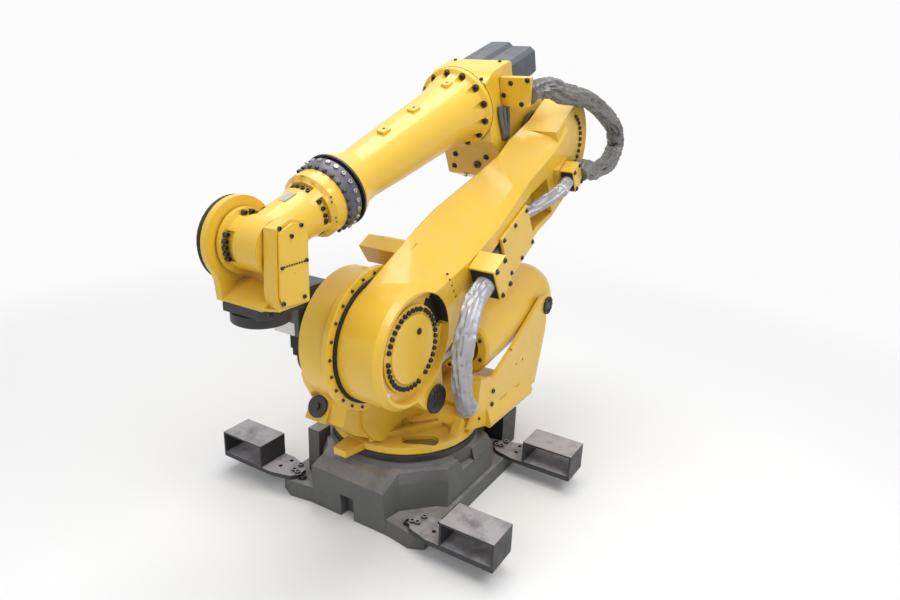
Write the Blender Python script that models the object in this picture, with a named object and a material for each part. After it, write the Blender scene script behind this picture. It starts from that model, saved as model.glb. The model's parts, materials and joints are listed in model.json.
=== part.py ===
"""Six-axis industrial robot arm on fork pockets: one named object per sub-part.

Metres, +Z up. +X is the robot's front, +Y its left. The origin is on the base's turning axis at the floor.
"""

import math

import bmesh
import bpy
from mathutils import Vector

for obj in list(bpy.data.objects):
    bpy.data.objects.remove(obj)

# Driving dimensions, in metres and degrees.
SHOULDER_X = 0.312
SHOULDER_Z = 0.670
ARM_LENGTH = 1.075
ARM_LEAN = -61.0
ELBOW_RISE = 0.225
FOREARM_LENGTH = 1.280
FOREARM_DIP = -17.8
FLANGE_DROP = 0.203
GAP = 0.0003

TURNTABLE_R = 0.260
TURNTABLE_Z = 0.2363
TURNTABLE_THICK = 0.028
FOOT_TOP = 0.060
BODY_TOP = 0.200

HOUSING_R = 0.222
HOUSING_FACE_Y = 0.103
HOUSING_END_Y = -0.095
ARM_INNER_Y = 0.111
ARM_OUTER_Y = 0.250
DRUM_R = 0.187

BALANCER_Y = 0.132
TRUNNION = (-0.565, BALANCER_Y, 0.571)
EYE_R = 0.036
PIN_REACH = DRUM_R + EYE_R + 0.006
BARREL_R = 0.123
BARREL_BORE = 0.080
ROD_R = 0.020

POCKET_DEPTH = 0.119
POCKET_WIDTH = 0.187
POCKET_HEIGHT = 0.0824
POCKET_INNER_Y = 0.372
POCKET_WALL = 0.007
POCKET_FRONT_X = 0.353
POCKET_REAR_X = -0.217
PLATE_THICK = 0.016

TUBE_START = 0.2903
TUBE_END = FOREARM_LENGTH - 0.312
TUBE_FLANGE_R = 0.137
CASING_LEFT_Y = 0.120
CASING_RIGHT_Y = -0.112
ELBOW_INNER_Y = 0.145
KNUCKLE_R = 0.086
KNUCKLE_RIGHT_Y = -0.051
KNUCKLE_LEFT_Y = 0.068
FORK_RIGHT_Y = -0.0565
FORK_LEFT_Y = 0.0735
HAND_BOTTOM = 0.145
HOSE_R = 0.036

# Directions that follow from the numbers above.
X = Vector((1, 0, 0))
Y = Vector((0, 1, 0))
Z = Vector((0, 0, 1))
lean = math.radians(ARM_LEAN)
dip = math.radians(FOREARM_DIP)
ARM_DIR = Vector((math.sin(lean), 0, math.cos(lean)))
ARM_UP = Vector((math.cos(lean), 0, -math.sin(lean)))
FORE_DIR = Vector((math.cos(dip), 0, math.sin(dip)))
FORE_UP = Vector((-math.sin(dip), 0, math.cos(dip)))
SHOULDER = Vector((SHOULDER_X, 0, SHOULDER_Z))
ELBOW = SHOULDER + ARM_LENGTH * ARM_DIR
ROLL_BASE = ELBOW + ELBOW_RISE * FORE_UP
WRIST = ROLL_BASE + FOREARM_LENGTH * FORE_DIR
PIN = SHOULDER - PIN_REACH * ARM_UP + BALANCER_Y * Y
TRUNNION = Vector(TRUNNION)
BARREL_DIR = (PIN - TRUNNION).normalized()
BARREL_UP = BARREL_DIR.cross(Y)

# A frame is an origin, two directions for an outline and one to extrude it along.
SIDE = (Vector((0, 0, 0)), X, Z, Y)
PLAN = (Vector((0, 0, 0)), X, Y, Z)
FRONT = (Vector((0, 0, 0)), Y, Z, X)
ARM = (SHOULDER, ARM_DIR, ARM_UP, Y)
FORE = (ROLL_BASE, FORE_DIR, FORE_UP, Y)
FORE_CROSS = (ROLL_BASE, Y, FORE_UP, FORE_DIR)
HAND = (WRIST, X, Z, Y)
ARM_CROSS = (SHOULDER, Y, ARM_UP, ARM_DIR)
HAND_PLAN = (WRIST, X, Y, Z)
SHOULDER_SIDE = (SHOULDER, X, Z, Y)


def arm_at(along):
    """Where a mark on the arm goes with the arm's length: fixed at the shoulder, moving with the elbow."""
    share = min(max((along - 0.30) / 0.58, 0.0), 1.0)
    return along + share * (ARM_LENGTH - 1.075)


def on_arm(along, up, side):
    return SHOULDER + arm_at(along) * ARM_DIR + up * ARM_UP + side * Y


def arm_side(outline):
    """An outline beside the arm, following the arm's length."""
    return [(arm_at(along), up) for along, up in outline]


def tube_at(share):
    """A distance along the forearm's tube, as a share of its length."""
    return TUBE_START + share * (TUBE_END - TUBE_START)


def paint(name, colour, rough, metal=0.0):
    """A plain Principled material."""
    material = bpy.data.materials.new(name)
    material.use_nodes = True
    shader = material.node_tree.nodes["Principled BSDF"]
    shader.inputs["Base Color"].default_value = (*colour, 1)
    shader.inputs["Roughness"].default_value = rough
    shader.inputs["Metallic"].default_value = metal
    return material


YELLOW = paint("yellow_paint", (0.83, 0.50, 0.02), 0.35)
GREY = paint("grey_cast", (0.16, 0.165, 0.175), 0.6)
BLACK = paint("black_steel", (0.02, 0.02, 0.022), 0.45)
POCKET = paint("pocket_steel", (0.05, 0.05, 0.055), 0.55)
MOTOR = paint("motor_black", (0.035, 0.04, 0.05), 0.4)
SLEEVE = paint("hose_sleeve", (0.27, 0.27, 0.28), 0.6)
STEEL = paint("bare_steel", (0.42, 0.43, 0.44), 0.35, 1.0)


def solid(name, points, faces):
    """A closed mesh with its faces turned outwards."""
    mesh = bpy.data.meshes.new(name)
    work = bmesh.new()
    corners = [work.verts.new(point) for point in points]
    for face in faces:
        work.faces.new([corners[i] for i in face])
    bmesh.ops.recalc_face_normals(work, faces=work.faces)
    if work.calc_volume(signed=True) < 0:
        bmesh.ops.reverse_faces(work, faces=work.faces)
    work.to_mesh(mesh)
    work.free()
    made = bpy.data.objects.new(name, mesh)
    bpy.context.scene.collection.objects.link(made)
    return made


def place(frame, first, second, along):
    origin, one, two, three = frame
    return origin + first * one + second * two + along * three


def prism(name, frame, outline, low, high):
    """An outline in the frame's plane, extruded from low to high along its third direction."""
    count = len(outline)
    points = [place(frame, a, b, low) for a, b in outline]
    points += [place(frame, a, b, high) for a, b in outline]
    faces = [list(range(count)), list(range(count, 2 * count))]
    for i in range(count):
        j = (i + 1) % count
        faces.append([i, j, count + j, count + i])
    return solid(name, points, faces)


def loft(name, frame, sections, slant=0.0):
    """Outlines with equal point counts, each at its own distance along the frame's third direction.

    The last one leans by the slant along its first direction.
    """
    count = len(sections[0][1])
    points = [place(frame, a, b, along) for along, outline in sections[:-1] for a, b in outline]
    points += [place(frame, a, b, sections[-1][0] + slant * a) for a, b in sections[-1][1]]
    last = count * (len(sections) - 1)
    faces = [list(range(count)), list(range(last, last + count))]
    for row in range(len(sections) - 1):
        for i in range(count):
            j = (i + 1) % count
            low = row * count
            faces.append([low + i, low + j, low + count + j, low + count + i])
    return solid(name, points, faces)


def box(name, low, high):
    corners = [(low[0], low[1]), (high[0], low[1]), (high[0], high[1]), (low[0], high[1])]
    return prism(name, PLAN, corners, low[2], high[2])


def ring_points(centre, axis, radius, steps, turn=0.0):
    """Points of a circle about an axis."""
    axis = axis.normalized()
    across = Z if abs(axis.z) < 0.9 else X
    one = axis.cross(across).normalized()
    two = axis.cross(one)
    angles = [turn + 2 * math.pi * i / steps for i in range(steps)]
    return [centre + radius * (math.cos(a) * one + math.sin(a) * two) for a in angles]


def turned(name, origin, axis, profile, steps=40):
    """A solid of revolution from (distance along the axis, radius) pairs."""
    axis = axis.normalized()
    points = []
    for along, radius in profile:
        points += ring_points(origin + along * axis, axis, radius, steps)
    last = steps * (len(profile) - 1)
    faces = [list(range(steps)), list(range(last, last + steps))]
    for row in range(len(profile) - 1):
        low = row * steps
        for i in range(steps):
            j = (i + 1) % steps
            faces.append([low + i, low + j, low + steps + j, low + steps + i])
    return solid(name, points, faces)


def hollow(name, origin, axis, profile, steps=40):
    """A ring of revolution from a closed loop of (distance along the axis, radius) pairs."""
    axis = axis.normalized()
    points = []
    for along, radius in profile:
        points += ring_points(origin + along * axis, axis, radius, steps)
    faces = []
    for row in range(len(profile)):
        low = row * steps
        high = ((row + 1) % len(profile)) * steps
        for i in range(steps):
            j = (i + 1) % steps
            faces.append([low + i, low + j, high + j, high + i])
    return solid(name, points, faces)


def smooth_path(marks, steps):
    """A rounded path through the marks, as a list of points."""
    marks = [Vector(mark) for mark in marks]
    ends = [2 * marks[0] - marks[1]] + marks + [2 * marks[-1] - marks[-2]]
    path = []
    for i in range(1, len(ends) - 2):
        p0, p1, p2, p3 = ends[i - 1 : i + 3]
        for step in range(steps):
            t = step / steps
            cubic = (3 * p1 - p0 - 3 * p2 + p3) * t**3
            square = (2 * p0 - 5 * p1 + 4 * p2 - p3) * t**2
            path.append(0.5 * (2 * p1 + (p2 - p0) * t + square + cubic))
    path.append(marks[-1])
    return path


def hose(name, marks, radius, steps=3, sides=12):
    """A round hose along a rounded path."""
    path = smooth_path(marks, steps)
    points = []
    side = None
    for i, here in enumerate(path):
        ahead = path[min(i + 1, len(path) - 1)] - path[max(i - 1, 0)]
        if i in (0, len(path) - 1):
            first = 0 if i == 0 else len(marks) - 2
            ahead = Vector(marks[first + 1]) - Vector(marks[first])
        ahead.normalize()
        if side is None:
            side = ahead.cross(Y if abs(ahead.y) < 0.9 else X)
        side = (side - side.dot(ahead) * ahead).normalized()
        up = ahead.cross(side)
        for k in range(sides):
            angle = 2 * math.pi * k / sides
            points.append(here + radius * (math.cos(angle) * side + math.sin(angle) * up))
    last = sides * (len(path) - 1)
    faces = [list(range(sides)), list(range(last, last + sides))]
    for row in range(len(path) - 1):
        low = row * sides
        for k in range(sides):
            j = (k + 1) % sides
            faces.append([low + k, low + j, low + sides + j, low + sides + k])
    return solid(name, points, faces)


def rounded(obj, width, steps=2, angle=35.0):
    """A bevel on the sharp edges."""
    bevel = obj.modifiers.new("bevel", "BEVEL")
    bevel.width = width
    bevel.segments = steps
    bevel.limit_method = "ANGLE"
    bevel.angle_limit = math.radians(angle)
    return obj


def shape(main, joined=(), removed=(), material=YELLOW):
    """Join and cut helpers into the main object, which becomes the sub-part."""
    for operation, helpers in (("UNION", joined), ("DIFFERENCE", removed)):
        for helper in helpers:
            step = main.modifiers.new(operation.lower(), "BOOLEAN")
            step.operation = operation
            step.solver = "EXACT"
            step.object = helper
            helper.hide_render = True
            helper.display_type = "WIRE"
    main.data.materials.append(material)
    return main


def mirrored(outline):
    return [(a, -b) for a, b in reversed(outline)]


# Base: a low cross-shaped casting with four corner feet and a round collar.
corner = [(0.325, 0.165), (0.338, 0.250), (0.315, 0.298), (0.20, 0.298)]


def four_ways(quarter):
    """An outline from its front left quarter, mirrored about both axes."""
    left = quarter + [(-x, y) for x, y in reversed(quarter)]
    return left + [(x, -y) for x, y in reversed(left)]


base = prism("base_casting", PLAN, four_ways(corner), 0.0, FOOT_TOP)
block_low = four_ways([(0.325, 0.155), (0.262, 0.168), (0.175, 0.250), (0.155, 0.285)])
block_high = four_ways([(0.335, 0.150), (0.262, 0.160), (0.170, 0.245), (0.150, 0.280)])
block_top = four_ways([(0.300, 0.130), (0.250, 0.150), (0.160, 0.235), (0.140, 0.265)])
body = loft("base_body", PLAN, [(0.01, block_low), (0.155, block_high), (BODY_TOP - 0.01, block_top)])
ear = box("base_ear", (0.185, -0.245, 0.02), (0.245, -0.195, 0.228))
ring_low = TURNTABLE_Z - 0.0225
collar_profile = [(0.15, TURNTABLE_R + 0.025), (0.185, TURNTABLE_R + 0.008), (ring_low - GAP, TURNTABLE_R - 0.010)]
collar = turned("collar", Vector((0, 0, 0)), Z, collar_profile, 48)
notch = box("notch", (0.29, -0.031, -0.01), (0.36, 0.024, 0.086))
pocket_plan = [(0.075, 0.243), (0.05, 0.300), (-0.01, 0.300), (-0.026, 0.262)]
corner_pocket = prism("corner_pocket", PLAN, pocket_plan, 0.15, 0.25)
shape(base, [body, ear, collar], [notch, corner_pocket], GREY)

ring_inner = TURNTABLE_R - 0.015
ring_outer = TURNTABLE_R + 0.002
ring_high = TURNTABLE_Z - GAP
bearing_profile = [(ring_low, ring_inner), (ring_low, ring_outer), (ring_high, ring_outer), (ring_high, ring_inner)]
bearing = hollow("base_bearing_ring", Vector((0, 0, 0)), Z, bearing_profile, 48)
shape(bearing, material=BLACK)

connector = box("connector_box", (-0.45, -0.20, 0.012), (-0.3354, 0.23, 0.159))
shape(connector, material=BLACK)


def pocket(name, front_x, side):
    """A fork pocket: a rectangular tube on a plate that bolts to a foot."""
    back = front_x - POCKET_DEPTH
    inner = POCKET_INNER_Y
    outer = POCKET_INNER_Y + POCKET_WIDTH
    low = FOOT_TOP + GAP
    top = low + PLATE_THICK
    plan = [(front_x - 0.098, 0.255), (front_x - 0.080, 0.236), (front_x - 0.040, 0.236)]
    plan += [(front_x - 0.018, 0.255), (front_x, 0.325), (front_x, outer), (back, outer), (back, 0.325)]
    plate = prism(name, PLAN, [(a, side * b) for a, b in plan], low, top)
    sides = sorted((side * inner, side * outer))
    tube = box(name + "_tube", (back, sides[0], top - 0.004), (front_x, sides[1], top + POCKET_HEIGHT))
    wall = POCKET_WALL
    cavity_low = (back - 0.02, sides[0] + wall, top + wall - 0.004)
    cavity_high = (front_x + 0.02, sides[1] - wall, top + POCKET_HEIGHT - wall)
    cavity = box(name + "_cavity", cavity_low, cavity_high)
    return shape(plate, [tube], [cavity], POCKET)


pocket("fork_pocket_front_left", POCKET_FRONT_X, 1)
pocket("fork_pocket_front_right", POCKET_FRONT_X, -1)
pocket("fork_pocket_rear_left", POCKET_REAR_X, 1)
pocket("fork_pocket_rear_right", POCKET_REAR_X, -1)

# Turret: a turntable with a shoulder housing on its right side.
table_profile = [(TURNTABLE_Z, TURNTABLE_R - 0.005), (TURNTABLE_Z + 0.006, TURNTABLE_R)]
table_top = TURNTABLE_Z + TURNTABLE_THICK
table_profile += [(table_top, TURNTABLE_R), (table_top + 0.0087, TURNTABLE_R - 0.015)]
turret = turned("turret_casting", Vector((0, 0, 0)), Z, table_profile, 48)
housing_profile = [(HOUSING_END_Y, 0.085), (-0.088, 0.105), (-0.045, 0.150)]
housing_profile += [(-0.028, 0.190), (-0.014, 0.205)]
housing_profile += [(0.0797, 0.205)]
housing = turned("housing", SHOULDER, Y, housing_profile, 48)
pedestal_side = [(-0.09, 0.255), (0.20, 0.255), (0.28, 0.300), (0.325, 0.36), (0.335, 0.42)]
pedestal_side += [(0.330, 0.50), (0.312, 0.67), (0.14, 0.60), (-0.06, 0.42), (-0.09, 0.36)]
pedestal = prism("pedestal", SIDE, pedestal_side, HOUSING_END_Y, 0.072)
front_side = [(0.430, 0.402), (0.397, 0.4575), (0.412, 0.487), (0.430, 0.520), (0.440, 0.555), (0.38, 0.60)]
front_side += [(0.30, 0.60), (0.27, 0.385), (0.40, 0.395)]
front_wall = prism("front_wall", SIDE, front_side, -0.081, 0.0)
near_side = [(0.20, 0.262), (0.275, 0.300), (0.36, 0.350), (0.415, 0.402), (0.397, 0.4575), (0.430, 0.52)]
near_wall = prism("near_wall", SIDE, near_side + [(0.38, 0.60), (0.20, 0.40)], -0.002, 0.060)
plug_at = Vector((0.407, -0.045, 0.440))
plug_axis = Vector((0.85, 0, 0.50)).normalized()
plug_boss = turned("plug_boss", plug_at, plug_axis, [(-0.09, 0.041), (0.0, 0.041)], 28)
plug_room = turned("plug_room", plug_at, plug_axis, [(0.0, 0.0435), (0.09, 0.0435)], 28)
stop_lug = prism("stop_lug", PLAN, [(0.24, -0.06), (0.335, -0.05), (0.335, 0.0), (0.24, 0.02)], 0.237, 0.262)
motor_shelf = box("motor_shelf", (-0.28, -0.20, 0.255), (-0.05, -0.045, 0.29))
bar_plan = [(0.223, -0.019), (0.015, 0.139), (0.039, 0.240)]
bar_plan += [(-0.010, 0.254), (-0.0985, 0.235), (-0.0985, 0.11)]
front_bar = prism("front_bar", PLAN, bar_plan + [(-0.02, 0.118), (0.20, -0.048)], 0.26, 0.284)
boss_side = [(0.0, 0.262), (0.062, 0.262), (0.050, 0.292), (0.026, 0.326), (0.008, 0.300)]
corner_boss = prism("corner_boss", SIDE, boss_side, 0.222, 0.252)
turret_pieces = [housing, pedestal, stop_lug, motor_shelf, front_bar]
turret_pieces += [corner_boss, front_wall, near_wall, plug_boss]
shape(turret, turret_pieces, [plug_room])

ring_profile = [(0.080, 0.120), (0.080, HOUSING_R - 0.004), (0.084, HOUSING_R), (HOUSING_FACE_Y, HOUSING_R)]
ring_profile += [(HOUSING_FACE_Y, 0.060), (0.090, 0.060)]
housing_ring = hollow("shoulder_bearing_ring", SHOULDER, Y, ring_profile, 48)
shape(housing_ring)

plug = turned("turret_plug", plug_at, plug_axis, [(GAP, 0.035), (0.006, 0.035), (0.008, 0.032)], 28)
shape(plug, material=BLACK)

# Balancer bracket: an outer and an inner cheek with the balancer's trunnions between them.
outer_side = [(-0.548, 0.609), (-0.568, 0.508), (-0.566, 0.465)]
outer_side += [(-0.505, 0.262), (-0.40, 0.250), (-0.09, 0.250)]
outer_side += [(0.018, 0.282), (-0.035, 0.356), (-0.047, 0.446)]
outer_side += [(-0.143, 0.420), (-0.266, 0.481), (-0.520, 0.622)]
bracket = prism("balancer_bracket", SIDE, outer_side, 0.2605, 0.275)
foot_section = [(-0.035, 0.2733), (0.245, 0.2733), (0.255, 0.246)]
foot_section += [(0.292, 0.243), (0.296, 0.262), (0.27, 0.33)]
foot_section += [(0.262, 0.33), (0.255, 0.298), (-0.035, 0.298)]
bracket_foot = prism("bracket_foot", FRONT, foot_section, -0.44, -0.10)
inner_side = [(-0.548, 0.609), (-0.600, 0.56), (-0.566, 0.465)]
inner_side += [(-0.505, 0.34), (-0.43, 0.2733), (-0.11, 0.2733)]
inner_side += [(-0.11, 0.34), (-0.45, 0.615), (-0.520, 0.622)]
inner_cheek = prism("inner_cheek", SIDE, inner_side, -0.035, -0.015)
lip_side = [(-0.034, 0.352), (-0.045, 0.446), (-0.108, 0.4285)]
lip_side += [(-0.106, 0.418), (-0.056, 0.428), (-0.047, 0.352)]
lip = prism("bracket_lip", SIDE, lip_side, 0.216, 0.262)
shape(bracket, [bracket_foot, inner_cheek, lip])

for name, low, high in (("trunnion_cap_outer", 0.2753, 0.283), ("trunnion_cap_inner", -0.043, -0.0353)):
    cap = turned(name, Vector((TRUNNION.x, 0, TRUNNION.z)), Y, [(low, 0.036), (high, 0.036)], 24)
    shape(cap, material=BLACK)

turn_motor_profile = [(0.2903, 0.07), (0.42, 0.07), (0.50, 0.055)]
turn_motor = turned("turn_motor", Vector((-0.20, -0.125, 0)), Z, turn_motor_profile, 8)
shape(turn_motor, material=MOTOR)
motor_plan = [(-0.065, -0.045), (-0.045, -0.065), (0.045, -0.065), (0.065, -0.045)]
motor_plan += [(0.065, 0.045), (0.045, 0.065), (-0.045, 0.065), (-0.065, 0.045)]
shoulder_plan = [(SHOULDER_X + 0.035 + 1.25 * a, SHOULDER_Z + 0.060 + 1.25 * b) for a, b in motor_plan]
shoulder_motor = prism("shoulder_motor", SIDE, shoulder_plan, -0.20, HOUSING_END_Y - GAP)
end_plan = [(SHOULDER_X + 0.035 + a, SHOULDER_Z + 0.060 + b) for a, b in motor_plan]
motor_end = prism("motor_end", SIDE, end_plan, -0.228, -0.19)
shape(shoulder_motor, [motor_end], material=MOTOR)

# Balancer: a barrel on two trunnions and a rod from the arm's pin into it.
reach = (PIN - TRUNNION).length
barrel_profile = [(-0.125, 0.080), (-0.115, 0.105), (-0.09, 0.119), (-0.06, BARREL_R), (0.43, BARREL_R)]
barrel_profile += [(0.44, BARREL_R - 0.010)]
barrel = turned("balancer_barrel", TRUNNION, BARREL_DIR, barrel_profile, 32)
barrel_bore = turned("barrel_bore", TRUNNION, BARREL_DIR, [(0.10, BARREL_BORE), (0.50, BARREL_BORE)], 32)
centre = Vector((TRUNNION.x, 0, TRUNNION.z))
trunnion_outer = turned("trunnion_outer", centre, Y, [(0.20, 0.032), (0.2605 - GAP, 0.032)], 24)
trunnion_inner = turned("trunnion_inner", centre, Y, [(-0.015 + GAP, 0.032), (0.08, 0.032)], 24)
shape(barrel, [trunnion_outer, trunnion_inner], [barrel_bore])

eye_low = BALANCER_Y - 0.023
eye_high = BALANCER_Y + 0.023
pin_base = Vector((PIN.x, 0, PIN.z))
rod = turned("balancer_rod", PIN, TRUNNION - PIN, [(0.015, ROD_R), (0.52, ROD_R)], 20)
eye = turned("rod_eye", pin_base, Y, [(eye_low, EYE_R), (eye_high, EYE_R)], 24)
shape(rod, [eye], material=STEEL)

# Upper arm: a shoulder drum, a tapering beam and an elbow disc.
drum_profile = [(ARM_INNER_Y, DRUM_R), (0.232, DRUM_R), (0.250, DRUM_R - 0.014)]
arm = turned("upper_arm_casting", SHOULDER, Y, drum_profile, 48)


def beam_section(inner, low, near, far, outer=ARM_OUTER_Y):
    """One cross-section of the beam, as (y, height) pairs."""
    section = [(inner, low), (outer - 0.02, low), (outer, low + 0.02)]
    return section + [(outer, near), (outer - 0.03, near + 0.03), (inner, far)]


sections = [(0.02, beam_section(0.111, -0.150, 0.120, 0.184))]
sections += [(0.30, beam_section(0.111, -0.155, 0.050, 0.176))]
sections += [(0.42, beam_section(0.108, -0.185, 0.025, 0.163))]
sections += [(0.55, beam_section(0.105, -0.212, 0.012, 0.134))]
sections += [(0.73, beam_section(0.105, -0.216, 0.017, 0.096))]
sections += [(0.79, beam_section(ELBOW_INNER_Y, -0.218, 0.022, 0.120))]
sections += [(0.88, beam_section(ELBOW_INNER_Y, -0.214, 0.034, 0.125, 0.268))]
sections += [(0.96, beam_section(ELBOW_INNER_Y, -0.188, 0.046, 0.115, 0.285))]
sections += [(1.282, beam_section(ELBOW_INNER_Y, -0.120, 0.070, 0.088, 0.295))]
sections = [(arm_at(along), section) for along, section in sections]
beam = loft("beam", ARM_CROSS, sections, -0.77)
pad_side = [(0.925, -0.12), (1.015, -0.12), (1.015, -0.015), (0.925, -0.015)]
clamp_pad = prism("clamp_pad", ARM, arm_side(pad_side), 0.24, 0.295)
disc_arc = [math.radians(angle) for angle in range(-120, 41, 8)]
disc_side = [(ARM_LENGTH + 0.170 * math.cos(angle), 0.170 * math.sin(angle)) for angle in disc_arc]
disc_side += arm_side([(1.14, 0.108), (0.99, 0.10)])
elbow_disc = prism("elbow_disc", ARM, disc_side, ELBOW_INNER_Y, 0.280)
elbow_boss = turned("elbow_boss", ELBOW, Y, [(0.140, 0.08), (0.15, 0.08)], 32)
shoulder_boss = turned("shoulder_boss", SHOULDER, Y, [(HOUSING_FACE_Y + GAP, 0.10), (0.115, 0.10)], 32)
pin_ear_side = [(-0.075, -0.15), (-0.048, -0.235), (-0.025, -0.27)]
pin_ear_side += [(0.025, -0.27), (0.048, -0.235), (0.075, -0.15)]
pin_ear = prism("pin_ear", ARM, pin_ear_side, 0.175, 0.250)
pin_boss = turned("pin_boss", pin_base, Y, [(eye_high + GAP, 0.030), (0.19, 0.030)], 24)
lug_side = [(0.215, 0.09), (0.30, 0.06), (0.33, 0.10), (0.262, 0.165), (0.205, 0.165)]
lug = prism("arm_lug", ARM, lug_side, -0.04, 0.14)
recess = turned("shoulder_recess", SHOULDER, Y, [(0.226, 0.162), (0.30, 0.162)], 40)
opening_arc = [math.radians(angle) for angle in range(120, 173, 13)]
opening_plan = [(0.159 * math.cos(angle), 0.159 * math.sin(angle)) for angle in opening_arc]
opening_plan += [(0.134 * math.cos(angle), 0.134 * math.sin(angle)) for angle in reversed(opening_arc)]
opening = prism("shoulder_opening", SHOULDER_SIDE, opening_plan, 0.19, 0.24)
channel_side = [(0.43, -0.165), (0.885, -0.175), (0.885, -0.025), (0.43, -0.035)]
channel = prism("hose_channel", ARM, arm_side(channel_side), 0.194, 0.30)
arm_pieces = [beam, elbow_disc, clamp_pad, elbow_boss, shoulder_boss, pin_ear, pin_boss, lug]
shape(arm, arm_pieces, [recess, channel, opening])

cover_profile = [(0.2263, 0.133), (0.234, 0.133), (0.234, 0.106), (0.240, 0.104)]
shape(turned("shoulder_cover", SHOULDER, Y, cover_profile, 40))
shape(turned("pin_cap", pin_base, Y, [(0.2503, 0.048), (0.262, 0.045)], 28), material=BLACK)
cover_side = [(0.53, -0.20), (0.735, -0.203), (0.735, -0.03), (0.53, -0.02)]
shape(prism("arm_cover_plate", ARM, arm_side(cover_side), 0.2503, 0.262))
clamp_side = [(0.33, -0.09), (0.415, -0.09), (0.415, 0.03), (0.33, 0.03)]
clamp_low = prism("hose_clamp_lower", ARM, arm_side(clamp_side), 0.2503, 0.345)
shape(clamp_low)
clamp_side = [(0.94, -0.115), (1.005, -0.115), (1.005, -0.025), (0.94, -0.025)]
clamp_high = prism("hose_clamp_upper", ARM, arm_side(clamp_side), 0.2953, 0.350)
shape(clamp_high)

# Elbow gear: the ring between the arm and the forearm's casing.
shape(turned("elbow_gear_ring", ELBOW, Y, [(0.1258, 0.11), (0.1397, 0.11)], 40), material=BLACK)

# Forearm: the casing over the elbow, its motors and the tube.
casing_side = [(0.290, 0.085), (0.240, 0.108), (0.115, 0.108), (0.10, 0.100), (0.10, -0.02), (-0.11, -0.09)]
casing_side += [(-0.13, -0.12), (-0.13, -0.27)]
casing_side += [(-0.08, -0.34), (0.02, -0.36), (0.14, -0.34)]
casing_side += [(0.235, -0.28), (0.250, -0.16), (0.290, -0.12)]
casing = prism("forearm_casing", FORE, casing_side, CASING_RIGHT_Y, CASING_LEFT_Y)
casing_boss = turned("casing_boss", ELBOW, Y, [(0.11, 0.08), (0.1255, 0.08)], 32)
shape(casing, [casing_boss])

tube_profile = [(TUBE_START, TUBE_FLANGE_R), (TUBE_START + 0.0217, TUBE_FLANGE_R)]
tube_profile += [(TUBE_START + 0.0297, 0.122)]
tube_profile += [(tube_at(0.1176), 0.108), (tube_at(0.2209), 0.100)]
tube_profile += [(tube_at(0.457), 0.092), (tube_at(0.6194), 0.087)]
tube_profile += [(tube_at(0.841), 0.077), (tube_at(0.9145), 0.080)]
tube_profile += [(tube_at(0.9734), 0.100), (TUBE_END, 0.104)]
shape(turned("forearm_tube", ROLL_BASE, FORE_DIR, tube_profile, 40))
WRIST_START = TUBE_END + 0.0083
bearing_profile = [(TUBE_END + GAP, 0.107), (TUBE_END + 0.008, 0.107)]
shape(turned("roll_bearing_ring", ROLL_BASE, FORE_DIR, bearing_profile, 40), material=BLACK)

for name, side, height, low in (("roll_motor", 0.060, 0.045, -0.10), ("bend_motor", -0.054, 0.045, -0.15)):
    outline = [(side + 0.84 * a, height + 0.80 * b) for a, b in motor_plan]
    motor = prism(name, FORE_CROSS, outline, low, 0.0997)
    shape(motor, material=MOTOR)
outline = [(a, -0.19 + b) for a, b in motor_plan]
shape(prism("flange_motor", FORE_CROSS, outline, -0.29, -0.1303), material=MOTOR)
outline = [(a, b - ELBOW_RISE) for a, b in motor_plan]
elbow_motor = prism("elbow_motor", FORE, outline, -0.34, CASING_RIGHT_Y - GAP)
shape(elbow_motor, material=MOTOR)
plate_cross = [(0.1203, -0.022), (0.225, -0.022), (0.240, 0.080), (0.1203, 0.078)]
shape(prism("cable_plate", FORE_CROSS, plate_cross, 0.18, 0.20))
box_cross = [(0.1203, -0.045), (0.139, -0.045), (0.139, -0.0223), (0.1203, -0.0223)]
shape(prism("cable_box", FORE_CROSS, box_cross, 0.06, 0.17))

# Wrist: turns about the forearm's axis.
reducer_profile = [(0.0, 0.07), (0.0057, 0.07), (0.0057, 0.101), (0.0437, 0.101), (0.0584, 0.094)]
reducer_profile = [(WRIST_START + along, radius) for along, radius in reducer_profile]
shape(turned("roll_gear_ring", ROLL_BASE, FORE_DIR, reducer_profile, 40), material=BLACK)
neck_profile = [(0.0587, 0.092), (0.0987, 0.092), (0.1087, 0.080), (0.1537, 0.068), (0.2737, 0.066)]
neck_profile = [(WRIST_START + along, radius) for along, radius in neck_profile]
neck = turned("wrist_body", ROLL_BASE, FORE_DIR, neck_profile, 40)
knuckle_profile = [(KNUCKLE_RIGHT_Y, KNUCKLE_R), (-0.040, KNUCKLE_R)]
knuckle_profile += [(-0.036, 0.072), (KNUCKLE_LEFT_Y, 0.072)]
knuckle = turned("knuckle", WRIST, Y, knuckle_profile, 40)
web_room = turned("web_room", WRIST, Y, [(-0.10, 0.137), (KNUCKLE_RIGHT_Y - 0.0002, 0.137)], 48)
shape(neck, [knuckle], [web_room])

# Hand: the fork about the bending axis, with the tool flange below it.
disc_profile = [(-0.080, 0.110), (-0.076, 0.1135), (FORK_RIGHT_Y, 0.1135)]
fork = turned("wrist_fork", WRIST, Y, disc_profile, 40)
web_side = [(-0.098, -0.040), (-0.079, -0.092), (-0.073, -HAND_BOTTOM), (0.073, -HAND_BOTTOM)]
web = prism("fork_web", HAND, web_side + [(0.079, -0.092), (0.098, -0.040)], -0.079, FORK_RIGHT_Y)
left_side = [(-0.055, -HAND_BOTTOM), (0.050, -HAND_BOTTOM), (0.058, -0.10), (0.050, 0.06), (0.0, 0.078)]
left_box = prism("left_box", HAND, left_side + [(-0.045, 0.066), (-0.06, 0.03)], FORK_LEFT_Y, 0.113)
ridge = [(-0.050, -0.125), (-0.020, -0.104), (0.0, -0.097), (0.020, -0.104), (0.050, -0.125)]
ridge += [(0.073, -0.138), (0.073, -HAND_BOTTOM), (-0.073, -HAND_BOTTOM), (-0.073, -0.138)]
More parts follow.
